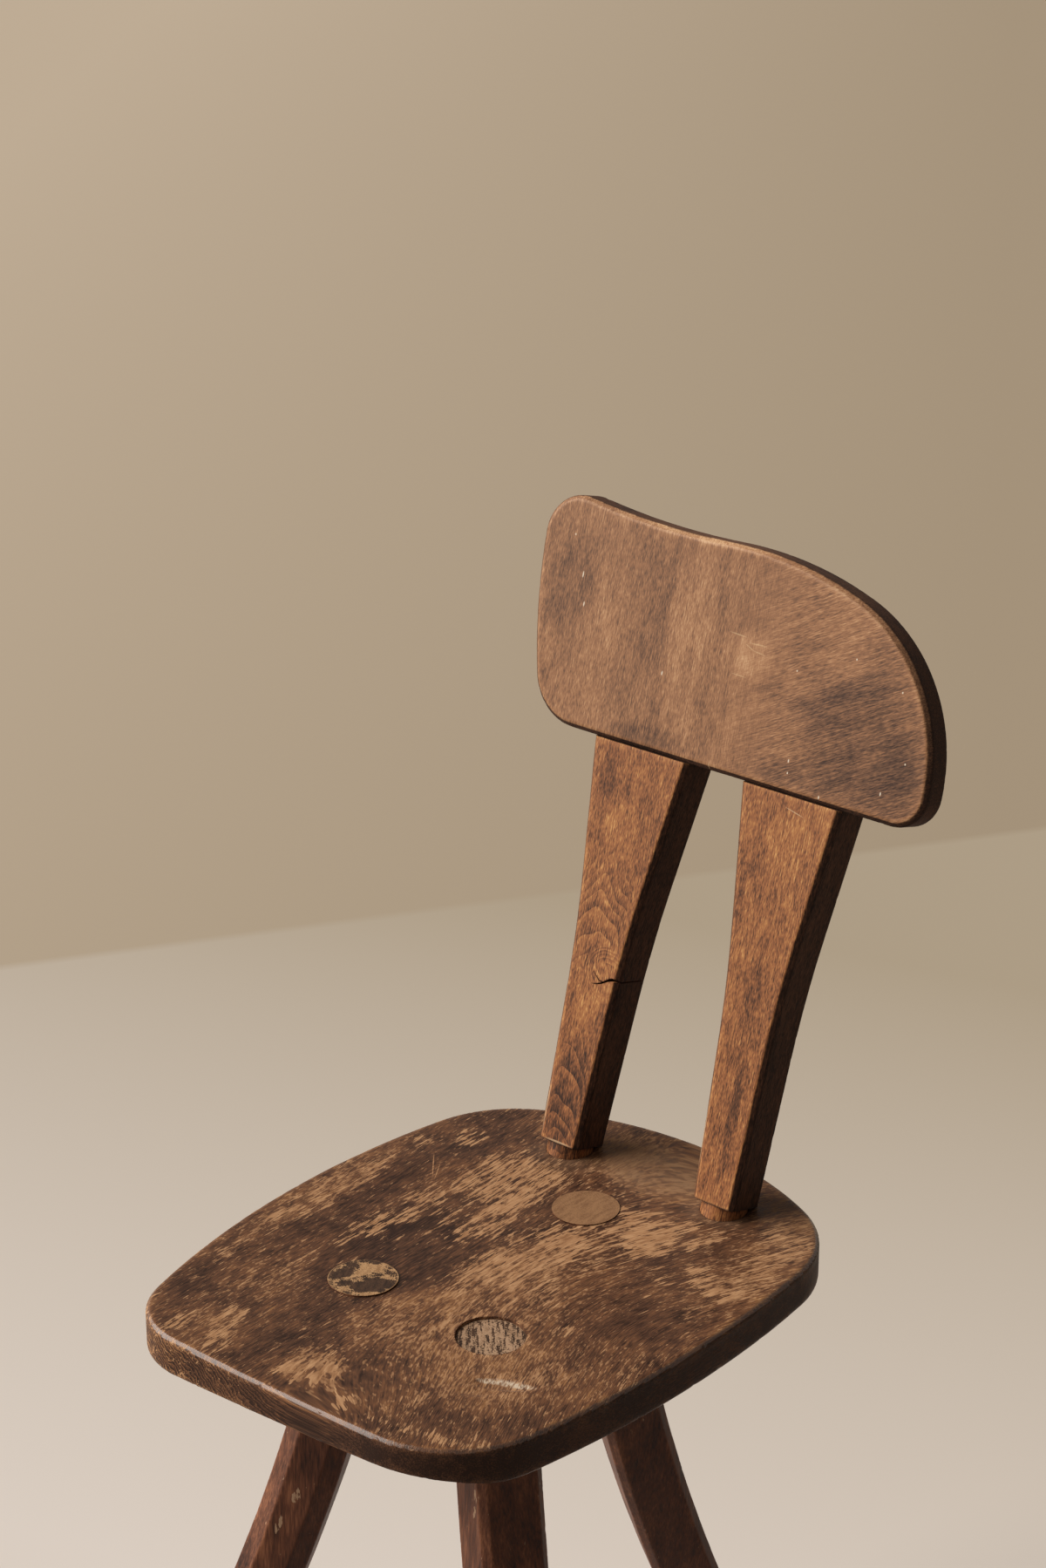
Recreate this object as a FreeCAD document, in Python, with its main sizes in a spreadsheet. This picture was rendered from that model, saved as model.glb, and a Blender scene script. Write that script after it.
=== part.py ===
"""Three-legged wooden chair: a plank seat on curved legs, two flared uprights and a let-in back board.

Millimetres, +Z up, +Y towards the back, +X to the right of someone facing the chair's front.
The origin is on the floor, under the middle of the chair's outer box.
"""
import FreeCAD, Part
import math
import os
import Sketcher

# Driving sizes: name, number and meaning
SIZES = (
    ("seat_height", 440, "floor to the top of the seat"),
    ("seat_thickness", 26, "plank of the seat"),
    ("seat_width", 320, "across the widest place"),
    ("seat_depth", 398, "front edge to the middle of the rear edge"),
    ("seat_left_widest", 150, "front edge to the widest place of the left side"),
    ("seat_right_widest", 199, "front edge to the widest place of the right side"),
    ("seat_front_width", 260, "between the front corners before they are rounded"),
    ("seat_rear_left", 139, "rear left corner from the seat's middle before it is rounded"),
    ("seat_rear_right", 150, "rear right corner from the seat's middle before it is rounded"),
    ("seat_front_bow", 4, "bulge of the front edge"),
    ("seat_rear_bow", 50, "bulge of the rear edge behind its corners"),
    ("seat_front_left_round", 56, "radius of the front left corner"),
    ("seat_front_right_round", 76, "radius of the front right corner"),
    ("seat_rear_round", 84, "radius of both rear corners"),
    ("seat_top_arris", 2.5, "bevel round the upper edge"),
    ("seat_bottom_arris", 2, "bevel round the lower edge"),
    ("seat_relief_run", 23, "front edge to the start of the slope under it"),
    ("seat_relief_angle", 12.4, "rise of the underside towards the front edge"),
    ("seat_relief_turn_angle", 8.7, "turn of that slope towards the right corner"),
    ("seat_centre_x", -2, "middle of the seat from the middle of the legs"),
    ("seat_centre_y", -41, "middle of the seat from the middle of the outer box"),
    ("leg_width", 43, "across two opposite flats of a leg"),
    ("leg_splay_angle", 12.6, "tilt of a leg where it enters the seat"),
    ("leg_curve", 1450, "radius of a leg's outward sweep"),
    ("leg_front_angle", 53.4, "front legs point this far to the side of straight ahead"),
    ("leg_front_spread", 103, "between the front tenons on the seat"),
    ("leg_front_reach", 69.5, "front tenons ahead of the seat's middle"),
    ("leg_rear_reach", 85.9, "rear tenon behind the seat's middle"),
    ("tenon_diameter", 43, "round tenon on a leg"),
    ("foot_chamfer", 2, "bevel round the sole of a leg"),
    ("front_left_facet", 11, "corner hewn off the front left leg"),
    ("front_right_facet", 5, "corner hewn off the front right leg"),
    ("rear_facet", 5, "corner hewn off the rear leg"),
    ("front_left_facet_angle", -12, "turn of the front left leg's flats"),
    ("front_right_facet_angle", 10, "turn of the front right leg's flats"),
    ("rear_facet_angle", 55, "turn of the rear leg's flats"),
    ("front_left_sink", 0.2, "front left tenon end below the seat's top"),
    ("front_right_sink", 3, "front right tenon end below the seat's top"),
    ("rear_sink", 0.2, "rear tenon end below the seat's top"),
    ("joint_clearance", 0.1, "room between a tenon or a screw and its hole"),
    ("back_lean_angle", 17, "lean of the uprights and the board"),
    ("back_centre_x", 6.2, "middle of the back from the middle of the legs"),
    ("upright_spacing", 126.4, "between the necks of the uprights"),
    ("upright_reach", 140.2, "necks behind the seat's middle"),
    ("upright_thickness", 32, "front to back"),
    ("upright_foot_width", 32, "width at the shoulder above the seat"),
    ("upright_bend", 140, "shoulder to the place where the flare starts"),
    ("upright_bend_inner", 23.6, "inner edge from the neck's axis at the bend"),
    ("upright_bend_outer", 19.4, "outer edge from the neck's axis at the bend"),
    ("upright_head_inner", 42.2, "inner edge from the neck's axis under the board"),
    ("upright_head_outer", 34.4, "outer edge from the neck's axis under the board"),
    ("upright_bend_round", 900, "radius that eases the bend"),
    ("upright_chamfer", 3, "bevel on the long edges"),
    ("neck_diameter", 30, "round neck and tenon under the shoulder"),
    ("tongue_length", 112, "tongue of an upright behind the board"),
    ("tongue_round", 14, "rounding of the tongue's upper corners"),
    ("board_rise", 267, "shoulder of the uprights to the board's lower edge"),
    ("board_thickness", 20, "front to back"),
    ("board_gap", 0.2, "shadow line between the board and the uprights' ledges"),
    ("board_right", 155.5, "right end from the back's middle"),
    ("board_right_straight", 24, "lower edge to the start of the right end's sweep"),
    ("board_right_sweep", 112, "tighter radius of the sweep over the right end"),
    ("board_crown_left", 8, "crown of the upper edge from the back's middle"),
    ("board_crown_height", 144.3, "height of the board at its crown"),
    ("board_hollow_left", 56, "lowest place of the upper edge's hollow from the back's middle"),
    ("board_hollow_drop", 1.35, "crown to the bottom of that hollow"),
    ("board_left_rise", 10.6, "bottom of the hollow to the upper left corner"),
    ("board_top_left", 167.5, "upper left corner from the back's middle"),
    ("board_left_bulge", 165.2, "left end from the back's middle at its bulge"),
    ("board_left_bulge_height", 83.3, "lower edge to that bulge"),
    ("board_bottom_left", 145, "lower left corner from the back's middle"),
    ("board_top_left_round", 28, "radius of the upper left corner"),
    ("board_bottom_left_round", 38, "radius of the lower left corner"),
    ("board_bottom_right_round", 22, "radius of the lower right corner"),
    ("board_chamfer", 3, "bevel round the front"),
    ("board_back_arris", 1.5, "bevel round the back"),
    ("screw_diameter", 4.5, "shank of a wood screw"),
    ("screw_head", 9, "countersunk head"),
    ("screw_length", 27, "head to tip"),
    ("screw_tip", 5, "tapered end of the shank"),
    ("screw_slot", 1.2, "width and depth of the slot in the head"),
    ("screw_first", 30, "lower edge of the board to the lower screw"),
    ("screw_pitch", 52, "lower screw to the upper screw"),
)


class Size:
    """A number together with the sheet formula that gives it, so that both stay in step."""

    def __init__(self, number, formula):
        self.number = number
        self.formula = formula

    def __add__(self, other):
        other = as_size(other)
        return Size(self.number + other.number, f"({self.formula} + {other.formula})")

    def __sub__(self, other):
        other = as_size(other)
        return Size(self.number - other.number, f"({self.formula} - {other.formula})")

    def __mul__(self, other):
        other = as_size(other)
        return Size(self.number * other.number, f"({self.formula} * {other.formula})")

    def __truediv__(self, other):
        other = as_size(other)
        return Size(self.number / other.number, f"({self.formula} / {other.formula})")

    def __neg__(self):
        return Size(-self.number, f"(-1 * {self.formula})")


def as_size(value):
    return value if isinstance(value, Size) else Size(float(value), repr(float(value)))


def of(name):
    """The driving size of that name."""
    return Size(float(sheet.get(name)), f"Sizes.{name}")


def sine(angle):
    return Size(math.sin(math.radians(angle.number)), f"sin({angle.formula})")


def cosine(angle):
    return Size(math.cos(math.radians(angle.number)), f"cos({angle.formula})")


def tangent(angle):
    return Size(math.tan(math.radians(angle.number)), f"tan({angle.formula})")


def root(value):
    return Size(math.sqrt(value.number), f"sqrt({value.formula})")


def frame(x=0, y=0, z=0, about="z", angle=0):
    """A formula for a place: a shift, then a turn about one axis."""
    axis = {"x": "1; 0; 0", "y": "0; 1; 0", "z": "0; 0; 1"}[about]
    x, y, z, angle = (as_size(value).formula for value in (x, y, z, angle))
    return f"placement(vector({x}; {y}; {z}); rotation(vector({axis}); {angle}))"


def put(thing, *frames):
    """Ties the place of a thing to the product of the given frames."""
    thing.setExpression("Placement", " * ".join(frames))


def bind(thing, **sizes):
    """Ties named properties of a thing to sizes."""
    for name, value in sizes.items():
        thing.setExpression(name, as_size(value).formula)


def new_body(label, *frames):
    body = doc.addObject("PartDesign::Body", label)
    body.Label = label
    put(body, *frames)
    return body


def new_sketch(body, role, name):
    """An empty sketch on one of the body's own origin planes."""
    sketch = body.newObject("Sketcher::SketchObject", name)
    plane = [item for item in body.Origin.OriginFeatures if item.Role == role][0]
    sketch.AttachmentSupport = (plane, "")
    sketch.MapMode = "FlatFace"
    return sketch


def point_of(place):
    x, y = (as_size(value).number for value in place)
    return FreeCAD.Vector(x, y, 0)


def end_at(sketch, curve, place):
    """Which end of the curve, 1 or 2, lies at that place."""
    target = point_of(place)
    ends = {end: sketch.getPoint(curve, end).distanceToPoint(target) for end in (1, 2)}
    return min(ends, key=ends.get)


def pin(sketch, curve, end, place):
    """Ties a point of the sketch to that distance from the sketch's origin; None leaves it free."""
    for kind, value in zip(("DistanceX", "DistanceY"), place):
        if value is None:
            continue
        value = as_size(value)
        index = sketch.addConstraint(Sketcher.Constraint(kind, -1, 1, curve, end, value.number))
        sketch.setExpression(f"Constraints[{index}]", value.formula)


def join(sketch, first, second, place, kind="Coincident"):
    """Joins the ends of two curves that meet at that place."""
    ends = (first, end_at(sketch, first, place), second, end_at(sketch, second, place))
    sketch.addConstraint(Sketcher.Constraint(kind, *ends))


def add_line(sketch, start, end):
    return sketch.addGeometry(Part.LineSegment(point_of(start), point_of(end)), False)


def add_arc(sketch, start, middle, end):
    return sketch.addGeometry(Part.Arc(point_of(start), point_of(middle), point_of(end)), False)


def add_bowed_edge(sketch, start, middle, end):
    """An arc that stays tied to the point it passes through."""
    arc = add_arc(sketch, start, middle, end)
    guide = sketch.addGeometry(Part.Point(point_of(middle)), True)
    sketch.addConstraint(Sketcher.Constraint("PointOnObject", guide, 1, arc))
    pin(sketch, guide, 1, middle)
    return arc


def add_outline(sketch, corners):
    """A closed run of straight edges with every corner tied to its place."""
    lines = [add_line(sketch, a, b) for a, b in zip(corners, corners[1:] + corners[:1])]
    for index, line in enumerate(lines):
        join(sketch, lines[index - 1], line, corners[index])
        pin(sketch, line, 1, corners[index])


def add_eased_edge(sketch, start, bend, end, radius):
    """Two straight runs that meet at a bend, with an arc tangent to both in place of the corner."""
    corner = point_of(bend)
    down = (point_of(start) - corner).normalize()
    up = (point_of(end) - corner).normalize()
    half = down.getAngle(up) / 2
    inward = (down + up).normalize()
    first, last = (corner + way * (radius.number / math.tan(half)) for way in (down, up))
    middle = corner + inward * (radius.number / math.sin(half) - radius.number)
    lower = add_line(sketch, start, (first.x, first.y))
    arc = add_arc(sketch, (first.x, first.y), (middle.x, middle.y), (last.x, last.y))
    upper = add_line(sketch, (last.x, last.y), end)
    guide = sketch.addGeometry(Part.Point(corner), True)
    pin(sketch, guide, 1, bend)
    for run in (lower, upper):
        sketch.addConstraint(Sketcher.Constraint("PointOnObject", guide, 1, run))
    join(sketch, lower, arc, (first.x, first.y), "Tangent")
    join(sketch, upper, arc, (last.x, last.y), "Tangent")
    index = sketch.addConstraint(Sketcher.Constraint("Radius", arc, radius.number))
    sketch.setExpression(f"Constraints[{index}]", radius.formula)
    pin(sketch, lower, 1, start)
    pin(sketch, upper, 2, end)
    return lower, upper


def pad(body, sketch, length, **settings):
    feature = body.newObject("PartDesign::Pad", f"{sketch.Name}_pad")
    feature.Profile = sketch
    for name, value in settings.items():
        setattr(feature, name, value)
    bind(feature, Length=length)
    doc.recompute()
    return feature


def add_primitive(body, kind, name, frames, **sizes):
    """A cylinder, cone or box that is added to the body or cut from it."""
    before = body.Shape.Volume if body.Tip else 0
    feature = body.newObject(f"PartDesign::{kind}", name)
    bind(feature, **sizes)
    put(feature, *frames)
    doc.recompute()
    if abs(body.Shape.Volume - before) < 1:
        raise RuntimeError(f"{body.Label}: {name} changes nothing")
    return feature


def dress(body, kind, size, wanted):
    """A fillet or chamfer on every edge of the body's latest feature that is wanted."""
    base = body.Tip
    names = [f"Edge{i}" for i, edge in enumerate(base.Shape.Edges, 1) if wanted(edge)]
    if not names:
        raise RuntimeError(f"{body.Label}: no edge to dress")
    feature = body.newObject(f"PartDesign::{kind}", f"{body.Name}_{kind.lower()}")
    feature.Base = (base, names)
    bind(feature, **{"Radius" if kind == "Fillet" else "Size": size})
    doc.recompute()
    return feature


def all_at(axis, level):
    """Picks the edges that lie wholly at one level of the x, y or z axis."""
    level = as_size(level).number

    def wanted(edge):
        box = edge.BoundBox
        low, high = getattr(box, f"{axis.upper()}Min"), getattr(box, f"{axis.upper()}Max")
        return abs(low - level) < 0.01 and abs(high - level) < 0.01

    return wanted


def standing_at(along, place):
    """Picks the edges that run along one axis through a place in the other two."""
    across = [axis for axis in "XYZ" if axis != along.upper()]
    place = dict(zip(across, (as_size(value).number for value in place)))

    def wanted(edge):
        centre = edge.BoundBox.Center
        return all(
            abs(getattr(centre, axis.lower()) - place[axis]) < 0.05
            and getattr(edge.BoundBox, f"{axis}Length") < 0.05
            for axis in across
        )

    return wanted


doc = FreeCAD.newDocument("chair")
sheet = doc.addObject("Spreadsheet::Sheet", "Sizes")
for row, (name, number, meaning) in enumerate(SIZES, 1):
    sheet.set(f"A{row}", meaning)
    sheet.set(f"B{row}", str(number))
    sheet.setAlias(f"B{row}", name)
doc.recompute()

seat_front = of("seat_centre_y") - of("seat_depth") / 2
seat_rear = of("seat_centre_y") + of("seat_depth") / 2
seat_underside = of("seat_height") - of("seat_thickness")

# Each leg: place of its tenon on the seat's top, and the direction that it points outwards
LEGS = {
    "front_left": (
        -of("leg_front_spread") / 2,
        of("seat_centre_y") - of("leg_front_reach"),
        -of("leg_front_angle") - 90,
    ),
    "front_right": (
        of("leg_front_spread") / 2,
        of("seat_centre_y") - of("leg_front_reach"),
        of("leg_front_angle") - 90,
    ),
    "rear": (as_size(0), of("seat_centre_y") + of("leg_rear_reach"), as_size(90)),
}

# Each upright: which side of the back's middle it stands on
SIDES = {"left": -1, "right": 1}
upright_y = of("seat_centre_y") + of("upright_reach")

# The shoulder is cut square to the lean, so it meets the seat along its rear edge
neck_rise = of("upright_thickness") / 2 * tangent(of("back_lean_angle")) + of("joint_clearance")


def upright_x(side):
    return of("back_centre_x") + of("upright_spacing") / 2 * side


def back_frames(x):
    """The leaning frame of the back, with its origin on the shoulder of the uprights."""
    return (
        frame(x, upright_y, of("seat_height"), "x", -of("back_lean_angle")),
        frame(z=neck_rise),
    )


def make_seat():
    """A plank with bowed edges, rounded corners and slanted round mortises."""
    body = new_body("seat", frame(z=seat_underside))
    x, front, rear = of("seat_centre_x"), seat_front, seat_rear
    half_front = of("seat_front_width") / 2
    front_left = (x - half_front, front + of("seat_front_bow"))
    front_right = (x + half_front, front + of("seat_front_bow"))
    rear_right = (x + of("seat_rear_right"), rear - of("seat_rear_bow"))
    rear_left = (x - of("seat_rear_left"), rear - of("seat_rear_bow"))
    half_width = of("seat_width") / 2
    widest_right = (x + half_width, front + of("seat_right_widest"))
    widest_left = (x - half_width, front + of("seat_left_widest"))
    edges = (
        (front_left, (x, front), front_right),
        (front_right, widest_right, rear_right),
        (rear_right, (x, rear), rear_left),
        (rear_left, widest_left, front_left),
    )
    outline = new_sketch(body, "XY_Plane", "seat_outline")
    arcs = [add_bowed_edge(outline, *edge) for edge in edges]
    for index, (start, middle, end) in enumerate(edges):
        join(outline, arcs[index - 1], arcs[index], start)
        pin(outline, arcs[index], end_at(outline, arcs[index], start), start)
    pad(body, outline, of("seat_thickness"))

    dress(body, "Fillet", of("seat_front_left_round"), standing_at("z", front_left))
    dress(body, "Fillet", of("seat_front_right_round"), standing_at("z", front_right))
    at_left, at_right = standing_at("z", rear_left), standing_at("z", rear_right)
    dress(body, "Fillet", of("seat_rear_round"), lambda edge: at_left(edge) or at_right(edge))
    dress(body, "Chamfer", of("seat_top_arris"), all_at("z", of("seat_thickness")))
    dress(body, "Chamfer", of("seat_bottom_arris"), all_at("z", 0))

    # The underside slopes up to the front edge, most of all at the right corner
    span = of("seat_width") * 2
    add_primitive(
        body, "SubtractiveBox", "front_relief",
        (
            frame(x, front + of("seat_relief_run"), 0, "z", of("seat_relief_turn_angle")),
            frame(about="x", angle=-of("seat_relief_angle")),
            frame(-span / 2, -span, -span),
        ),
        Length=span, Width=span, Height=span,
    )

    drill = of("seat_thickness") * 4
    for name, (leg_x, leg_y, outward) in LEGS.items():
        add_primitive(
            body, "SubtractiveCylinder", f"{name}_mortise",
            (
                frame(leg_x, leg_y, of("seat_thickness"), "z", outward),
                frame(about="y", angle=-of("leg_splay_angle")),
                frame(z=-drill / 2),
            ),
            Radius=of("tenon_diameter") / 2 + of("joint_clearance"),
            Height=drill,
        )
    for name, side in SIDES.items():
        add_primitive(
            body, "SubtractiveCylinder", f"{name}_upright_mortise",
            (
                frame(upright_x(side), upright_y, of("seat_thickness"), "x", -of("back_lean_angle")),
                frame(z=-drill / 2),
            ),
            Radius=of("neck_diameter") / 2 + of("joint_clearance"),
            Height=drill,
        )
    return body


def make_leg(name):
    """A hewn leg that sweeps outwards, with its sole on the floor and a round tenon on top."""
    leg_x, leg_y, outward = LEGS[name]
    body = new_body(
        f"{name}_leg",
        frame(leg_x, leg_y, of("seat_height"), "z", outward),
        frame(of("seat_thickness") * tangent(of("leg_splay_angle")), 0, -of("seat_thickness")),
    )
    half = of("leg_width") / 2
    cut = half - of(f"{name}_facet")
    section = new_sketch(body, "XY_Plane", f"{name}_section")
    add_outline(
        section,
        [(half, -cut), (half, cut), (cut, half), (-cut, half),
         (-half, cut), (-half, -cut), (-cut, -half), (cut, -half)],
    )
    turn = of(f"{name}_facet_angle")
    section.setExpression("AttachmentOffset", frame(angle=turn))

    # The sweep starts along the tenon and bends outwards down to below the floor
    splay, radius = of("leg_splay_angle"), of("leg_curve")
    centre = (radius * cosine(splay), radius * sine(splay))
    below = seat_underside + of("leg_width")

    def on_sweep(drop):
        height = centre[1] + drop
        return (centre[0] - root(radius * radius - height * height), -drop)

    top, middle, bottom = on_sweep(as_size(0)), on_sweep(below / 2), on_sweep(below)
    sweep = new_sketch(body, "XZ_Plane", f"{name}_sweep")
    arc = add_arc(sweep, top, middle, bottom)
    pin(sweep, arc, 3, centre)
    pin(sweep, arc, end_at(sweep, arc, top), (0, 0))
    pin(sweep, arc, end_at(sweep, arc, bottom), (None, -below))
    doc.recompute()
    pipe = body.newObject("PartDesign::AdditivePipe", f"{name}_pipe")
    pipe.Profile = section
    pipe.Spine = (sweep, ["Edge1"])
    doc.recompute()

    reach = seat_underside * 2
    add_primitive(
        body, "SubtractiveBox", f"{name}_sole",
        (frame(-reach / 2, -reach / 2, -seat_underside - reach),),
        Length=reach, Width=reach, Height=reach,
    )
    dress(body, "Chamfer", of("foot_chamfer"), all_at("z", -seat_underside))

    embed = of("tenon_diameter") / 4
    tenon = of("seat_thickness") * 2 + embed
    add_primitive(
        body, "AdditiveCylinder", f"{name}_tenon",
        (frame(about="y", angle=-splay), frame(z=-embed)),
        Radius=of("tenon_diameter") / 2, Height=tenon,
    )
    add_primitive(
        body, "SubtractiveBox", f"{name}_tenon_end",
        (frame(-reach / 2, -reach / 2, of("seat_thickness") - of(f"{name}_sink")),),
        Length=reach, Width=reach, Height=reach,
    )
    return body


def make_upright(name):
    """A paddle that flares towards the board, with a neck and tenon below and a tongue above."""
    side = SIDES[name]
    body = new_body(f"{name}_upright", *back_frames(upright_x(side)))
    foot, rise = of("upright_foot_width") / 2, of("board_rise")
    tongue_top = rise + of("tongue_length")
    outer, inner = (
        [
            (as_size(foot) * way, 0),
            (of(f"upright_bend_{edge}") * way, of("upright_bend")),
            (of(f"upright_head_{edge}") * way, rise),
            (of(f"upright_head_{edge}") * way, tongue_top),
        ]
        for edge, way in (("outer", side), ("inner", -side))
    )
    profile = new_sketch(body, "XZ_Plane", f"{name}_profile")
    runs = [add_eased_edge(profile, *edge[:3], of("upright_bend_round")) for edge in (outer, inner)]
    foot_line = add_line(profile, outer[0], inner[0])
    tongue = [add_line(profile, edge[2], edge[3]) for edge in (outer, inner)]
    tip_line = add_line(profile, outer[3], inner[3])
    for (lower, upper), line, edge in zip(runs, tongue, (outer, inner)):
        join(profile, foot_line, lower, edge[0])
        join(profile, upper, line, edge[2])
        join(profile, line, tip_line, edge[3])
        pin(profile, line, 2, edge[3])
    pad(body, profile, of("upright_thickness"), Midplane=True)

    tips = [standing_at("y", edge[3]) for edge in (outer, inner)]
    dress(body, "Fillet", of("tongue_round"), lambda edge: any(t(edge) for t in tips))
    half = of("upright_thickness") / 2
    front, rear = all_at("y", -half), all_at("y", half)
    lowest = all_at("z", 0)
    dress(
        body, "Chamfer", of("upright_chamfer"),
        lambda edge: (front(edge) or rear(edge)) and not lowest(edge),
    )

    # The board lies in a rebate across the front, down to a ledge
    wide = of("upright_head_inner") + of("upright_head_outer")
    add_primitive(
        body, "SubtractiveBox", f"{name}_rebate",
        (frame(-wide, -half * 2 + of("board_thickness") - half, rise),),
        Length=wide * 2, Width=half * 2, Height=of("tongue_length") * 2,
    )

    drop = neck_rise + of("seat_thickness") / cosine(of("back_lean_angle"))
    deep = drop + of("neck_diameter")
    add_primitive(
        body, "AdditiveCylinder", f"{name}_neck", (frame(z=-deep),),
        Radius=of("neck_diameter") / 2, Height=deep,
    )
    add_primitive(
        body, "SubtractiveBox", f"{name}_tenon_end",
        (frame(z=-drop, about="x", angle=of("back_lean_angle")), frame(-deep, -deep, -deep * 2)),
        Length=deep * 2, Width=deep * 2, Height=deep * 2,
    )

    clearance = of("joint_clearance")
    for level in screw_levels():
        into_back = frame(0, half, level, "x", -90)
        add_primitive(
            body, "SubtractiveCylinder", f"{name}_screw_hole",
            (into_back, frame(z=-half * 2)),
            Radius=of("screw_diameter") / 2 + clearance, Height=half * 2,
        )
        add_primitive(
            body, "SubtractiveCone", f"{name}_countersink",
            (into_back, frame(z=-head_depth())),
            Radius1=of("screw_diameter") / 2 + clearance,
            Radius2=of("screw_head") / 2 + clearance,
            Height=head_depth(),
        )
    return body


def screw_levels():
    lower = of("board_rise") + of("screw_first")
    return lower, lower + of("screw_pitch")


def head_depth():
    """A right-angled countersink is as deep as the head is wider than the shank, on the radius."""
    return (of("screw_head") - of("screw_diameter")) / 2


def make_board():
    """A free-form back board: level below, swept over its right end, hollowed above its left half."""
    body = new_body("back_board", *back_frames(of("back_centre_x")))
    low = of("board_rise") + of("board_gap")
    left_low = (-of("board_bottom_left"), low)
    right_low = (of("board_right"), low)
    right_top = (of("board_right"), low + of("board_right_straight"))
    crown = (-of("board_crown_left"), low + of("board_crown_height"))
    hollow = (-of("board_hollow_left"), crown[1] - of("board_hollow_drop"))
    left_top = (-of("board_top_left"), hollow[1] + of("board_left_rise"))
    left_bulge = (-of("board_left_bulge"), low + of("board_left_bulge_height"))

    # Two arcs make the sweep: a tight one off the right end and a slower one up to the crown
    tight = of("board_right_sweep")
    across = crown[0] - right_top[0] + tight
    up = crown[1] - right_top[1]
    slow = (across * across + up * up - tight * tight) / ((up - tight) * 2)
    tight_centre = (right_top[0] - tight, right_top[1])
    slow_centre = (crown[0], crown[1] - slow)

    def on_line(start, end, share):
        return tuple(a + (b - a) * share for a, b in zip(start, end))

    meeting = on_line(slow_centre, tight_centre, slow / (slow - tight))

    def on_circle(centre, radius, a, b):
        way = (point_of(a) + point_of(b)) / 2 - point_of(centre)
        middle = point_of(centre) + way.normalize() * as_size(radius).number
        return (middle.x, middle.y)

    # Left of the crown a crest arc turns into a hollow that rises to the left corner
    span, lift = hollow[0] - left_top[0], of("board_left_rise")
    dip = (span * span + lift * lift) / (lift * 2)
    reach, drop = crown[0] - hollow[0], of("board_hollow_drop")
    crest = (reach * reach + drop * drop) / (drop * 2) - dip
    dip_centre = (hollow[0], hollow[1] + dip)
    crest_centre = (crown[0], crown[1] - crest)
    turning = on_line(crest_centre, dip_centre, crest / (crest + dip))

    outline = new_sketch(body, "XZ_Plane", "board_outline")
    bottom = add_line(outline, left_low, right_low)
    right = add_line(outline, right_low, right_top)
    end_sweep = add_arc(
        outline, right_top, on_circle(tight_centre, tight, right_top, meeting), meeting
    )
    top_sweep = add_arc(outline, meeting, on_circle(slow_centre, slow, meeting, crown), crown)
    crest_edge = add_arc(outline, crown, on_circle(crest_centre, crest, crown, turning), turning)
    hollow_edge = add_arc(
        outline, turning, on_circle(dip_centre, dip, turning, left_top), left_top
    )
    left = add_bowed_edge(outline, left_top, left_bulge, left_low)
    join(outline, bottom, right, right_low)
    join(outline, right, end_sweep, right_top)
    join(outline, end_sweep, top_sweep, meeting, "Tangent")
    join(outline, top_sweep, crest_edge, crown)
    join(outline, crest_edge, hollow_edge, turning, "Tangent")
    join(outline, hollow_edge, left, left_top)
    join(outline, left, bottom, left_low)
    for curve, place in (
        (bottom, left_low), (right, right_low), (end_sweep, right_top),
        (top_sweep, crown), (left, left_top),
    ):
        pin(outline, curve, end_at(outline, curve, place), place)
    pin(outline, end_sweep, 3, tight_centre)
    pin(outline, hollow_edge, 3, dip_centre)
    for curve in (top_sweep, crest_edge):
        pin(outline, curve, 3, (crown[0], None))

    half = of("upright_thickness") / 2
    rear_face = of("board_thickness") - half
    outline.setExpression("AttachmentOffset", frame(z=-rear_face))
    pad(body, outline, of("board_thickness"))

    for corner, radius in (
        (left_top, "board_top_left_round"),
        (left_low, "board_bottom_left_round"),
        (right_low, "board_bottom_right_round"),
    ):
        dress(body, "Fillet", of(radius), standing_at("y", corner))
    dress(body, "Chamfer", of("board_chamfer"), all_at("y", -half))
    dress(body, "Chamfer", of("board_back_arris"), all_at("y", rear_face))

    bite = of("screw_length") - of("upright_thickness") + of("board_thickness")
    for side in SIDES.values():
        for level in screw_levels():
            add_primitive(
                body, "SubtractiveCylinder", "pilot_hole",
                (
                    frame(of("upright_spacing") / 2 * side, rear_face, level, "x", -90),
                    frame(z=-bite - of("joint_clearance")),
                ),
                Radius=of("screw_diameter") / 2 + of("joint_clearance"),
                Height=bite + of("joint_clearance"),
            )
    return body


def make_screw(name, side, level):
    """A slotted countersunk wood screw, driven from behind through a tongue into the board."""
    body = new_body(
        name, *back_frames(upright_x(side)),
        frame(0, of("upright_thickness") / 2, level, "x", -90),
    )
    head, shank = of("screw_head") / 2, of("screw_diameter") / 2
    length = of("screw_length")
    profile = new_sketch(body, "XZ_Plane", f"{name}_profile")
    add_outline(
        profile,
        [(0, 0), (0, -length), (shank, of("screw_tip") - length), (shank, -head_depth()), (head, 0)],
    )
    turned = body.newObject("PartDesign::Revolution", f"{name}_turned")
    turned.Profile = profile
    turned.ReferenceAxis = (profile, ["V_Axis"])
    turned.Angle = 360
    doc.recompute()
    slot = of("screw_slot")
    add_primitive(
        body, "SubtractiveBox", f"{name}_slot", (frame(-head, -slot / 2, -slot),),
        Length=head * 2, Width=slot, Height=slot * 2,
    )
    return body


bodies = [make_seat()]
bodies += [make_leg(name) for name in LEGS]
bodies += [make_upright(name) for name in SIDES]
bodies.append(make_board())
for name, side in SIDES.items():
    for height, level in zip(("lower", "upper"), screw_levels()):
        bodies.append(make_screw(f"{name}_{height}_screw", side, level))
doc.recompute()

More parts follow.
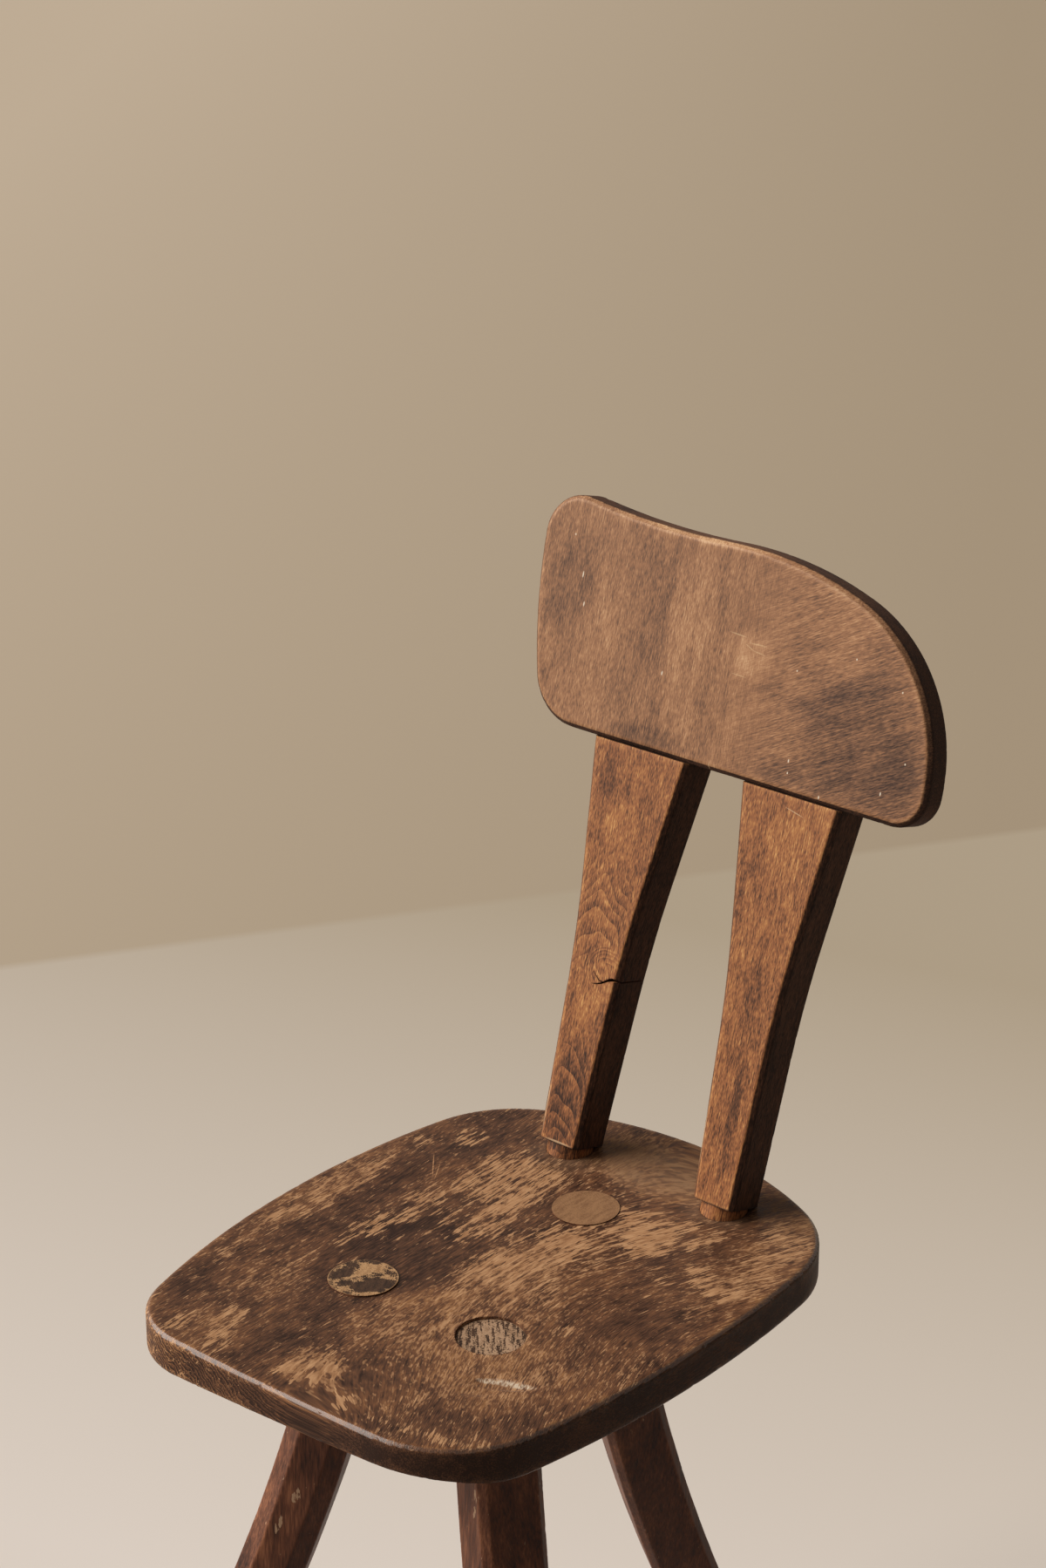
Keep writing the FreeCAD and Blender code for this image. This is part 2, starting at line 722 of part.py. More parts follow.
for item in doc.Objects:
    if "Invalid" in item.State or "Error" in item.State:
        raise RuntimeError(f"{item.Name} could not be built: {item.State}")
os.makedirs("parts", exist_ok=True)
for body in bodies:
    shape = body.Shape
    if shape.isNull() or not shape.isValid() or len(shape.Solids) != 1:
        raise RuntimeError(f"{body.Label} is not one sound solid")
    box = shape.optimalBoundingBox()
    print(f"{body.Label}: {shape.Volume / 1000:.1f} cm3, x {box.XMin:.1f} to {box.XMax:.1f},"
          f" y {box.YMin:.1f} to {box.YMax:.1f}, z {box.ZMin:.1f} to {box.ZMax:.1f}")
for body in bodies:
    body.Shape.exportStep(f"parts/{body.Label}.step")
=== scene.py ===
# %% [markdown]
# # A worn tripod chair
# A low chair of stained beech: a rounded plank seat on three hewn legs, and a free-form back board let into
# two flared uprights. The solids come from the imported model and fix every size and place. This lesson gives
# them what a saw leaves out and years of use put in: softened edges, small dents, figure, stain and wear.

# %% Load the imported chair
import math
import bmesh
import bpy
import numpy
from mathutils import Matrix, Vector


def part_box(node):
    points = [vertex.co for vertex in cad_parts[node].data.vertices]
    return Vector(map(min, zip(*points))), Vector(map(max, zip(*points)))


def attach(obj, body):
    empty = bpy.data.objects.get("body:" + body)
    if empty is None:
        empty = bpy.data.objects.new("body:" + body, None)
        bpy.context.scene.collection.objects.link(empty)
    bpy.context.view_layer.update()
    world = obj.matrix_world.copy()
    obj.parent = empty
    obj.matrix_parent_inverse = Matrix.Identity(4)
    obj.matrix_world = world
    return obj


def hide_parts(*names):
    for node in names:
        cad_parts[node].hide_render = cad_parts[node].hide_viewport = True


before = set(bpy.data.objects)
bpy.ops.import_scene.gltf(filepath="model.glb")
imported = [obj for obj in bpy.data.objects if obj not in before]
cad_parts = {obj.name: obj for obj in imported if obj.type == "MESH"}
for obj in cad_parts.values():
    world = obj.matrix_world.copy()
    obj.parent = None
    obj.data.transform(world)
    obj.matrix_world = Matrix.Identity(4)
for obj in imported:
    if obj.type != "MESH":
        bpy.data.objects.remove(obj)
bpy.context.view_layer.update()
MM = 0.001
print("nodes:", ", ".join(sorted(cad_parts)))

# %% [markdown]
# ## Three helpers
# Every colour below is written as the sRGB hex code that a person would pick by eye; a shader wants linear
# light, so one function converts. Some nodes have several outputs of one name and hide all but one, so a
# second function finds that one. A third adds a node of any kind, for shaders and geometry alike: it sets
# the node's own settings, then gives each input a value or a link.

# %% Colour and node helpers
def linear(code):
    """An sRGB hex colour as the linear colour that a shader takes."""
    parts = [int(code[i:i + 2], 16) / 255 for i in (1, 3, 5)]
    light = [c / 12.92 if c <= 0.04045 else ((c + 0.055) / 1.055) ** 2.4 for c in parts]
    return (*light, 1)


def output_of(node):
    """A node's first output that isn't hidden."""
    return next(s for s in node.outputs if s.enabled)


def put(tree, kind, inputs=None, stops=(), **settings):
    """Add a node with its settings, the stops of its colour ramp and its inputs.

    A kind without Node in its name is a shader node, which geometry trees take too. An input is named or
    numbered, and gets a value, a socket or another node's output.
    """
    node = tree.nodes.new(kind if "Node" in kind else "ShaderNode" + kind)
    for name, value in settings.items():
        setattr(node, name, value)
    for number, (place, colour) in enumerate(stops):
        ramp = node.color_ramp.elements
        stop = ramp[number] if number < 2 else ramp.new(place)
        stop.position, stop.color = place, linear(colour)
    for key, value in (inputs or {}).items():
        usable = [s for s in node.inputs if s.enabled]
        socket = node.inputs[key] if isinstance(key, int) else next(s for s in usable if s.name == key)
        if isinstance(value, bpy.types.Node):
            value = output_of(value)
        if isinstance(value, bpy.types.NodeSocket):
            tree.links.new(value, socket)
        else:
            socket.default_value = value
    return node


print("mid brown #7a5238 is", [round(c, 3) for c in linear("#7a5238")])

# %% [markdown]
# ## Camera
# The photograph looks down on the chair from its front right, through a long lens that keeps the legs
# nearly parallel, and its frame cuts the legs off. The place and turn were worked out from the three tenon
# ends and the seat's outline, so the render overlays the photograph.

# %% Camera
CAMERA_PLACE = (1.306, -1.591, 1.633)
CAMERA_PITCH = math.radians(66.76)
CAMERA_AZIMUTH = math.radians(39.7)
LENS_LENGTH, SENSOR_WIDTH = 86.05, 36
lens = bpy.data.cameras.new("long_lens")
lens.lens = LENS_LENGTH
lens.sensor_width = SENSOR_WIDTH
camera = bpy.data.objects.new("camera", lens)
camera.location = CAMERA_PLACE
camera.rotation_euler = (CAMERA_PITCH, 0, CAMERA_AZIMUTH)
bpy.context.collection.objects.link(camera)
bpy.context.scene.camera = camera
bpy.context.scene.view_settings.view_transform = "Standard"
print("camera looks down by", round(90 - math.degrees(CAMERA_PITCH), 2), "degrees")

# %% [markdown]
# ## Floor and light
# One wide sheet of paper carries the chair. It is pale under the chair and takes a warmer, darker tone
# behind it, like a backdrop, with a soft line between. Both parts brighten towards the left, the side the
# light comes from: a painted light falloff. A painted tone is used, and not a wall, because a wall would
# hide the chair from behind. The sheet passes on only a share of the light that falls on it, so that the
# chair's undersides stay dark. The light is one wide soft sun from the front left, as a window would give
# it. The sky adds little light, but the camera and reflections see it pale, so that low views have a plain
# background too.

# %% Floor sheet with its toned far part
def new_finish(name, **shader_values):
    """A material and its node tree, with the plain values set on the shader's own sockets."""
    material = bpy.data.materials.new(name)
    material.use_nodes = True
    shader = material.node_tree.nodes["Principled BSDF"]
    for socket, value in shader_values.items():
        shader.inputs[socket.replace("_", " ")].default_value = value
    return material, material.node_tree, shader


# The camera and the sheet are measured in metres, the chair in mm.
SHEET_HALF = 12.0
BOUNCE_SHARE = 0.3
TONE_FOOT = (-0.92, 1.126, 0.0)
TONE_TURN = math.radians(57.2)
TONE_BLUR = 0.008
# A tone with a painted light falloff: the way in which it brightens towards the light's side, where it
# starts and ends that way, and its dark and light colours.
NEAR_TONES_AND_FALLOFF = ((-0.671, -0.741, 0), 0.0, 1.2, "#b0a28d", "#e0d7cf")
FAR_TONES_AND_FALLOFF = ((-0.908, 0.419, 0), -0.45, 1.37, "#a69680", "#c1b19c")
# Uncoated paper scatters light evenly, so the eye sees a flat tone with soft shadows and hardly any gloss.
paper, tree, shader = new_finish("matt_paper", Roughness=0.9, Specular_IOR_Level=0.25)
place = put(tree, "TexCoord").outputs["Object"]
across = put(tree, "Mapping", {"Vector": place, "Location": TONE_FOOT,
             "Rotation": (0, 0, TONE_TURN)}, vector_type="TEXTURE")
sides = put(tree, "SeparateXYZ", {"Vector": across})
behind = put(tree, "MapRange", {"Value": sides.outputs["Y"], "From Min": -TONE_BLUR,
             "From Max": TONE_BLUR})
tones_with_falloff = []
for way, low, high, dark, light in (NEAR_TONES_AND_FALLOFF, FAR_TONES_AND_FALLOFF):
    along = put(tree, "VectorMath", {0: across, 1: way}, operation="DOT_PRODUCT").outputs["Value"]
    level = put(tree, "MapRange", {"Value": along, "From Min": low, "From Max": high})
    tones_with_falloff.append(put(tree, "ValToRGB", {"Fac": level}, stops=((0, dark), (1, light))))
tone_and_light = put(tree, "Mix", {"Factor": behind, "A": tones_with_falloff[0], "B": tones_with_falloff[1]}, data_type="RGBA")
bounced = put(tree, "LightPath").outputs["Is Diffuse Ray"]
share = put(tree, "MapRange", {"Value": bounced, "To Min": 1.0, "To Max": BOUNCE_SHARE})
seen = put(tree, "Mix", {"Factor": share, "A": linear("#000000"), "B": tone_and_light}, data_type="RGBA")
tree.links.new(output_of(seen), shader.inputs["Base Color"])
sheet = bpy.data.meshes.new("floor_sheet")
corners = [(x * SHEET_HALF, y * SHEET_HALF, 0) for x, y in ((-1, -1), (1, -1), (1, 1), (-1, 1))]
sheet.from_pydata(corners, [], [(0, 1, 2, 3)])
sheet.materials.append(paper)
floor = bpy.data.objects.new("floor_sheet", sheet)
bpy.context.collection.objects.link(floor)
print("floor sheet", 2 * SHEET_HALF, "m across")

# %% Window light and sky
LIGHT_FROM = Vector((-0.72, -0.45, 0.53))
LIGHT_STRENGTH, LIGHT_SPREAD = 5.0, math.radians(60)
SKY_LIGHT, SKY_LOOK = 0.11, 0.55
window = bpy.data.lights.new("window_light", "SUN")
window.energy = LIGHT_STRENGTH
window.angle = LIGHT_SPREAD
window.color = linear("#fffaf4")[:3]
lamp = bpy.data.objects.new("window_light", window)
lamp.rotation_euler = LIGHT_FROM.to_track_quat("Z", "Y").to_euler()
bpy.context.collection.objects.link(lamp)
world = bpy.data.worlds.new("soft_sky")
world.use_nodes = True
sky = world.node_tree.nodes["Background"].inputs
sky["Color"].default_value = linear("#e9e4dd")
rays = put(world.node_tree, "LightPath").outputs
shown = rays["Is Camera Ray"]
for kind in ("Is Glossy Ray", "Is Transmission Ray"):
    shown = put(world.node_tree, "Math", {0: shown, 1: rays[kind]}, operation="MAXIMUM")
strength = put(world.node_tree, "MapRange", {"Value": shown, "To Min": SKY_LIGHT, "To Max": SKY_LOOK})
world.node_tree.links.new(output_of(strength), sky["Strength"])
bpy.context.scene.world = world
print("light falls", round(math.degrees(math.asin(LIGHT_FROM.normalized().z))), "degrees steep")

# %% [markdown]
# ## Hand-finished surfaces
# A sawn solid has dead flat faces and knife edges. On the real chair a plane, a spokeshave and many hands
# have rounded the arrises and left the faces faintly wavy. Bevelling hundreds of long thin triangles is
# fragile, so each solid is rebuilt on a fine even grid that keeps its edges (Remesh, sharp) and then
# relaxed for a round or two (Smooth), which softens them by about the grid's width. A node tree adds the
# waver and small nicks along the edges, and stores how sharply the surface bends out, so that a finish can
# wear there.

# %% Node tree of the hand finish
ARRIS_BLUR = 8
NICK_BAND = (0.58, 0.72)


def build_hand_finish():
    """Waver and edge nicks along the normal, and the attribute arris: 1 on an edge, below 0 in a corner."""
    tree = bpy.data.node_groups.new("hand_finish", "GeometryNodeTree")
    tree.interface.new_socket("Geometry", in_out="OUTPUT", socket_type="NodeSocketGeometry")
    tree.interface.new_socket("Geometry", in_out="INPUT", socket_type="NodeSocketGeometry")
    for name in ("Waver height", "Waver length", "Nick depth", "Nick length", "Arris height", "Seed"):
        tree.interface.new_socket(name, in_out="INPUT", socket_type="NodeSocketFloat")
    tree.interface.new_socket("Finish", in_out="INPUT", socket_type="NodeSocketMaterial")
    given = put(tree, "NodeGroupInput").outputs
    spot = put(tree, "GeometryNodeInputPosition")
    normal = put(tree, "GeometryNodeInputNormal").outputs["Normal"]

    mean_spot = put(tree, "GeometryNodeBlurAttribute", {"Value": spot, "Iterations": ARRIS_BLUR},
                    data_type="FLOAT_VECTOR")
    rise = put(tree, "VectorMath", {0: spot, 1: mean_spot}, operation="SUBTRACT")
    proud = put(tree, "VectorMath", {0: rise, 1: normal}, operation="DOT_PRODUCT").outputs["Value"]
    share = put(tree, "Math", {0: proud, 1: given["Arris height"]}, operation="DIVIDE")
    arris = put(tree, "Clamp", {"Value": share, "Min": -1.0, "Max": 1.0})
    stored = put(tree, "GeometryNodeStoreNamedAttribute", {"Geometry": given["Geometry"], "Name": "arris",
                 "Value": arris}, data_type="FLOAT", domain="POINT")

    heights = []
    for length, height, low, high in (("Waver length", "Waver height", 0.0, 1.0),
                                      ("Nick length", "Nick depth", *NICK_BAND)):
        scaled = put(tree, "VectorMath", {0: spot, 1: given[length]}, operation="DIVIDE")
        noise = put(tree, "TexNoise", {"Vector": scaled, "W": given["Seed"], "Scale": 1.0,
                    "Detail": 2.0}, noise_dimensions="4D")
        level = put(tree, "MapRange", {"Value": noise, "From Min": low, "From Max": high})
        heights.append(put(tree, "Math", {0: level, 1: given[height]}, operation="MULTIPLY"))
    edge = put(tree, "Clamp", {"Value": arris})
    nick = put(tree, "Math", {0: heights[1], 1: edge}, operation="MULTIPLY")
    half = put(tree, "Math", {0: given["Waver height"], 1: 0.5}, operation="MULTIPLY")
    waver = put(tree, "Math", {0: heights[0], 1: half}, operation="SUBTRACT")
    lift = put(tree, "Math", {0: waver, 1: nick}, operation="SUBTRACT")
    move = put(tree, "VectorMath", {0: normal, "Scale": lift}, operation="SCALE")
    moved = put(tree, "GeometryNodeSetPosition", {"Geometry": stored, "Offset": move})
    smooth = put(tree, "GeometryNodeSetShadeSmooth", {"Geometry": moved})
    real = put(tree, "GeometryNodeRealizeInstances", {"Geometry": smooth})
    done = put(tree, "GeometryNodeSetMaterial", {"Geometry": real, "Material": given["Finish"]})
    put(tree, "NodeGroupOutput", {"Geometry": done})
    return tree


HAND_FINISH = build_hand_finish()
FINISH_INPUTS = {s.name: s.identifier for s in HAND_FINISH.interface.items_tree if s.in_out == "INPUT"}
print("hand_finish has", len(HAND_FINISH.nodes), "nodes and inputs", ", ".join(FINISH_INPUTS))

# %% Rebuild a sawn solid as a hand-finished piece
GRID_DEPTH = 9
WELD = 0.005
RELAX_SHARE = 0.5
WAVER_LENGTH, NICK_LENGTH, NICK_DEPTH, ARRIS_HEIGHT = 55, 7, 0.4, 0.9
CRISP_ANGLE = math.radians(50)


def sawn_mesh(node):
    """A copy of a node's mesh with its loose triangles joined."""
    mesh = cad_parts[node].data.copy()
    work = bmesh.new()
    work.from_mesh(mesh)
    bmesh.ops.remove_doubles(work, verts=work.verts, dist=WELD * MM)
    work.to_mesh(mesh)
    work.free()
    mesh.materials.clear()
    return mesh


def evaluated(mesh, name, add_modifiers):
    """The plain mesh that an object of this mesh becomes under the modifiers of add_modifiers."""
    bench = bpy.data.objects.new(name, mesh)
    bpy.context.collection.objects.link(bench)
    add_modifiers(bench)
    graph = bpy.context.evaluated_depsgraph_get()
    result = bpy.data.meshes.new_from_object(bench.evaluated_get(graph), depsgraph=graph)
    bench.modifiers.clear()
    bpy.data.objects.remove(bench)
    return result


def rows_of(mesh, layer):
    """One row for each point of the mesh: its place in mm, or its normal."""
    flat = numpy.empty(3 * len(mesh.vertices), dtype=numpy.float32)
    if layer == "place":
        mesh.vertices.foreach_get("co", flat)
        return flat.reshape(-1, 3) / MM
    mesh.vertex_normals.foreach_get("vector", flat)
    return flat.reshape(-1, 3)


def hand_finished(mesh, name, finish, grid, seed, rounds=1, waver=0.35, turn=Matrix()):
    """Rebuild a mesh on a grid of that many mm, relax it for some rounds, and wear it by hand_finish."""
    values = {"Waver height": waver * MM, "Waver length": WAVER_LENGTH * MM, "Nick depth": NICK_DEPTH * MM,
              "Nick length": NICK_LENGTH * MM, "Arris height": ARRIS_HEIGHT * MM, "Seed": seed,
              "Finish": finish}
    mesh.transform(turn)
    longest = numpy.ptp(rows_of(mesh, "place"), axis=0).max()

    def tools(bench):
        remesh = bench.modifiers.new("even_grid", "REMESH")
        remesh.mode, remesh.octree_depth = "SHARP", GRID_DEPTH
        remesh.scale = longest / (grid * 2 ** GRID_DEPTH)
        remesh.use_remove_disconnected = False
        relax = bench.modifiers.new("relax", "SMOOTH")
        relax.factor = RELAX_SHARE
        relax.iterations = rounds
        wear = bench.modifiers.new("hand_finish", "NODES")
        wear.node_group = HAND_FINISH
        for label, value in values.items():
            wear[FINISH_INPUTS[label]] = value

    result = evaluated(mesh, name, tools)
    result.transform(turn.inverted())
    return result


def add_piece(name, mesh, node):
    """Show a finished mesh in place of its node, with its sharp corners kept crisp."""
    mesh.set_sharp_from_angle(angle=CRISP_ANGLE)
    piece = bpy.data.objects.new(name, mesh)
    bpy.context.collection.objects.link(piece)
    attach(piece, "root")
    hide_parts(node)
    print(name, "has", len(mesh.polygons), "faces")


print("a grid may have", 2 ** GRID_DEPTH, "cells along a piece")

# %% [markdown]
# ## Painting by strokes
# Wear isn't even: a patch is rubbed bare where people sit, a band of the board is darker. A mask painted by
# hand would need an image file. Here such soft fields are painted onto the points of a mesh as attributes,
# from short lists of strokes given in mm: a middle, two half lengths, a turn and a strength. A
# finish then breaks their edges up along the grain.

# %% Paint a field of strokes
STROKE_REACH = 1.3


def stroke_field(points, strokes):
    """Sum of soft oval strokes at 2-D points in mm: each x, y, half across, half along, turn, amount."""
    field = numpy.zeros(len(points))
    for x, y, across, along, turn, amount in strokes:
        angle = math.radians(turn)
        dx, dy = points[:, 0] - x, points[:, 1] - y
        u = (dx * math.cos(angle) + dy * math.sin(angle)) / across
        v = (dy * math.cos(angle) - dx * math.sin(angle)) / along
        field += amount * numpy.clip(STROKE_REACH - u * u - v * v, 0, 1)
    return field


def paint(mesh, name, values):
    """Store one number for each point of the mesh under a name that a finish can read."""
    layer = mesh.attributes.new(name, "FLOAT", "POINT")
    layer.data.foreach_set("value", values.astype(numpy.float32))


stroke_end = stroke_field(numpy.array([[10.0, 0.0]]), [(0, 0, 10, 10, 0, 1)])[0]
print("10 mm from its middle a stroke of 10 mm is", round(stroke_end, 2))

# %% [markdown]
# ## What all the woods share
# Every piece is beech under a brown stain, so the finishes are built from the same few steps. Streaks are
# noise drawn out along the grain: long thin ones are fibres, short ones the flecks of the rays, broad ones
# clouds of uneven stain. Their weighed sum is a level, and a colour ramp turns the level into stain
# colours, from the darkest pore to the palest rubbed spot. Marks are small ovals at known places: a
# scratch, a scuff, a speck. Flecks of real beech are under half a millimetre wide; here they are about one,
# so that they show in the picture.

# %% Streaks, weighed sums, marks, rings and the common end of a finish
RELIEF_STRENGTH = 0.6


def streaks(tree, place, size, seed=0.0, detail=2.0, turn=(0, 0, 0)):
    """Noise drawn out into streaks, size mm long along x, y and z, after a turn in degrees."""
    laid = put(tree, "Mapping", {"Vector": place, "Scale": [v * MM for v in size],
               "Rotation": [math.radians(v) for v in turn]}, vector_type="TEXTURE")
    return put(tree, "TexNoise", {"Vector": laid, "W": seed, "Scale": 1.0, "Detail": detail,
               "Roughness": 0.6}, noise_dimensions="4D")


def weighed(tree, start, *terms):
    """start plus the sum of each term's distance from its middle times its weight."""
    total = start
    for value, middle, weight in terms:
        part = put(tree, "Math", {0: value, 1: -middle}, operation="ADD")
        total = put(tree, "Math", {0: part, 1: weight, 2: total}, operation="MULTIPLY_ADD")
    return total


def marks(tree, place, rows):
    """1 inside any of some small ovals: each a middle and three half sizes in mm, and a turn in degrees."""
    total = 0.0
    for middle, half, turn in rows:
        laid = put(tree, "Mapping", {"Vector": place, "Location": [v * MM for v in middle],
                   "Scale": [v * MM for v in half], "Rotation": [math.radians(v) for v in turn]},
                   vector_type="TEXTURE")
        far = put(tree, "VectorMath", {0: laid}, operation="LENGTH").outputs["Value"]
        inside = put(tree, "MapRange", {"Value": far, "From Min": 1.0, "From Max": 0.5})
        total = put(tree, "Math", {0: inside, 1: total}, operation="MAXIMUM")
    return total


def ring_lines(tree, count, figure):
    """Year rings that grow paler up to each whole count and break off, as strong as the painted figure."""
    part = put(tree, "Math", {0: count}, operation="FRACT")
    centred = weighed(tree, 0.0, (part, 0.5, 1.0))
    return put(tree, "Math", {0: centred, 1: figure}, operation="MULTIPLY")


def link_finish(tree, shader, colour, rough, relief, depth):
    """Join colour, roughness and relief, depth mm high, to the shader."""
    bump = put(tree, "Bump", {"Height": relief, "Strength": RELIEF_STRENGTH, "Distance": depth * MM})
    for socket, node in (("Base Color", colour), ("Roughness", rough), ("Normal", bump)):
        tree.links.new(output_of(node), shader.inputs[socket])


print("streaks, weighed, marks, ring_lines and link_finish are ready")

# %% [markdown]
# ## The seat's finish
# Stained beech that has been sat on for decades. The stain is a dark film that survives in the pores and
# along the hard rays, so where it wears it breaks into short flames along the grain, and bare beech shows
# pale tan through it. The painted wear field says where the film is thin, and the streaks say where it has
# broken; on the plank's wall that field also carries a painted shade that darkens towards the right. Chips,
# two scratches and a pale graze lie over that; the graze is partly a scrape and partly a painted highlight
# of the gleam in the dent. Dust dulls the stain around the uprights, and between them the painted dust and
# tone also lighten the stain where the uprights cast their shadow: painted light.
# The grain runs from front to back on the left and bends round on the right, so the streaks read a bent
# coordinate. Year rings are slices of the same coordinate and show most on the plank's wall. The rim,
# polished by legs and hands, gets the same recipe with more gloss, because gloss is one number for a whole
# finish.

# %% Worn stained beech
SEAT_SCRATCHES = (((-111, 24, 440), (0.5, 18, 9), (0, 0, 39)), ((-104, 20, 440), (0.4, 12, 9), (0, 0, 30)))
# Pale grazes in the dent: partly a scrape, partly a painted highlight of the dent's gleam.
SEAT_GRAZES_AND_GLARE = (((97, -144, 440), (17, 3.4, 9), (0, 0, 20)), ((84, -150, 440), (9, 2.6, 9), (0, 0, 30)))
# Rings of beech are 1 to 3 mm wide. They are drawn a little wider, so that they show.
RING_WIDTH, RING_TILT = 4.2, (0.9, 0, 1.2)


def bent_grain(tree, place, middle_y, slope, soft, left, right):
    """Coordinates whose x follows the grain, which bows to the left about middle_y.

    The bow starts at x = left and has its full slope at x = right. Its turn is soft mm long.
    """
    parts = put(tree, "SeparateXYZ", {"Vector": place}).outputs
    off = put(tree, "Math", {0: parts["Y"], 1: middle_y * MM}, operation="SUBTRACT")
    corner = put(tree, "CombineXYZ", {"X": off, "Y": soft * MM})
    reach = put(tree, "VectorMath", {0: corner}, operation="LENGTH").outputs["Value"]
    bow = put(tree, "Math", {0: reach, 1: soft * MM}, operation="SUBTRACT")
    side = put(tree, "MapRange", {"Value": parts["X"], "From Min": left * MM, "From Max": right * MM,
               "To Max": -slope}, interpolation_type="SMOOTHSTEP")
    x = put(tree, "Math", {0: bow, 1: side, 2: parts["X"]}, operation="MULTIPLY_ADD")
    return put(tree, "CombineXYZ", {"X": x, "Y": parts["Y"], "Z": parts["Z"]})


def worn_beech(name, gloss):
    # Old stain is a deep brown film with a faint sheen, and bare beech is pale tan and dull. The eye reads
    # the wear from both: light, flat flames between dark, silky remains.
    material, tree, shader = new_finish(name, Specular_IOR_Level=gloss)
    place = put(tree, "TexCoord").outputs["Object"]
    grain = bent_grain(tree, place, middle_y=-50, slope=0.45, soft=50, left=-30, right=70)
    worn_and_shade, tone_and_light, dust_and_fill_light, wall, figure, arris = (
        put(tree, "Attribute", attribute_name=field).outputs["Fac"]
        for field in ("worn_and_shade", "tone_and_light", "dust_and_fill_light", "wall", "figure", "arris"))
    flames = streaks(tree, grain, (2.6, 24, 2.6), seed=1.0, detail=3.0)
    fibres = streaks(tree, grain, (0.9, 10, 0.9), seed=2.0)
    dashes = streaks(tree, grain, (1.5, 9, 1.5), seed=3.0, detail=1.0)
    chips = streaks(tree, grain, (1.2, 4.5, 1.2), seed=4.0, detail=1.0)
    mottles = streaks(tree, grain, (8, 14, 8), seed=5.0)
    clouds = streaks(tree, grain, (26, 40, 26), seed=6.0, detail=3.0)
    across = [v / (RING_WIDTH * MM) for v in RING_TILT]
    rings = put(tree, "VectorMath", {0: grain, 1: across}, operation="DOT_PRODUCT").outputs["Value"]
    count = weighed(tree, rings, (clouds, 0.5, 6.0), (mottles, 0.5, 2.5))
    ring = ring_lines(tree, count, figure)

    film = weighed(tree, worn_and_shade, (flames, 0.5, 2.9), (fibres, 0.5, 1.0), (mottles, 0.5, 0.8),
                   (arris, 0.0, 0.15))
    bare = put(tree, "MapRange", {"Value": film, "From Min": 0.49, "From Max": 0.53})
    pore = put(tree, "MapRange", {"Value": dashes, "From Min": 0.59, "From Max": 0.62})
    bare = put(tree, "Math", {0: bare, 1: pore}, operation="SUBTRACT", use_clamp=True)
    chipped = weighed(tree, chips, (tone_and_light, 0.0, 0.3), (worn_and_shade, 0.0, 0.1), (wall, 0.0, -0.2),
                      (mottles, 0.5, 0.3))
    chip = put(tree, "MapRange", {"Value": chipped, "From Min": 0.61, "From Max": 0.68, "To Max": 0.65})
    for cover in (chip, marks(tree, place, SEAT_SCRATCHES)):
        bare = put(tree, "Math", {0: bare, 1: cover}, operation="MAXIMUM")
    # The painted tone is mostly the stain's uneven tone, but between the uprights it is painted light.
    thin_and_painted_light = weighed(tree, 0.36, (tone_and_light, 0.0, 0.55), (clouds, 0.5, 0.9), (mottles, 0.5, 0.8),
                   (fibres, 0.5, 1.5), (ring, 0.0, 1.0), (wall, 0.0, -0.15), (arris, 0.0, 0.3))
    stain = put(tree, "ValToRGB", {"Fac": thin_and_painted_light},
                stops=((0.0, "#301f17"), (0.3, "#533829"), (0.6, "#724d35"), (0.95, "#9c7049")))
    wood = put(tree, "ValToRGB", {"Fac": weighed(tree, fibres, (mottles, 0.5, 0.5))},
               stops=((0.3, "#865e3f"), (0.5, "#aa7f5b"), (0.7, "#c0966f")))
    colour = put(tree, "Mix", {"Factor": bare, "A": stain, "B": wood}, data_type="RGBA")
    # The veil greys the stain with dust, and in the uprights' shadow it is painted fill light as well.
    dust_and_fill_veil = put(tree, "Math", {0: dust_and_fill_light, 1: weighed(tree, 0.6, (mottles, 0.5, 1.5))},
               operation="MULTIPLY", use_clamp=True)
    paler = weighed(tree, 0.45, (chips, 0.5, 4.0), (fibres, 0.5, 2.0))
    graze_and_glare = put(tree, "Math", {0: marks(tree, place, SEAT_GRAZES_AND_GLARE), 1: paler},
                operation="MULTIPLY", use_clamp=True)
    # 7b604a is the dust, also painted light in the shadow; #cdbba4 the graze, partly a painted highlight.
    for cover, tint in ((dust_and_fill_veil, "#7b604a"), (graze_and_glare, "#cdbba4")):
        colour = put(tree, "Mix", {"Factor": cover, "A": colour, "B": linear(tint)}, data_type="RGBA")
    rough = weighed(tree, 0.42, (bare, 0.0, 0.26), (fibres, 0.5, 0.3), (arris, 0.0, -0.3), (wall, 0.0, 0.15))
    link_finish(tree, shader, colour, rough, weighed(tree, fibres, (bare, 0.0, -0.3)), depth=0.25)
    return material


WORN_BEECH = worn_beech("worn_stained_beech", gloss=0.1)
RIM_BEECH = worn_beech("polished_rim_beech", gloss=0.45)
print("finishes:", WORN_BEECH.name, RIM_BEECH.name)

# %% [markdown]
# ## The seat's shape
# The plank is one convex slab with five slanted round mortises. If the grid rebuilt the mortises as well,
# their rims would go soft and each tenon would sit in a ditch. So the slab is taken as the hull of the
# solid, rounded and dented first, and the mortises are cut last by a Boolean, on the axes of the tenons
# that fill them. The top's wear is painted stroke by stroke. On the wall it only falls off from left to
# right, so a slope is enough: rubbed at the left, and darker towards the right, where the wall turns from
# the light, which is painted shade.

# %% Cutters on the tenons' axes
LEG_TILT, BACK_LEAN = math.radians(12.6), math.radians(17)
LEG_HEADINGS = {"front_left_leg": -143.4, "front_right_leg": -36.6, "rear_leg": 90}
LEG_TENON, NECK_TENON, JOINT_GAP = 21.5, 15.0, 0.2
CUTTER_SIDES, CUTTER_LENGTH = 120, 140
END_SLACK = 0.05
UP = Vector((0, 0, 1))


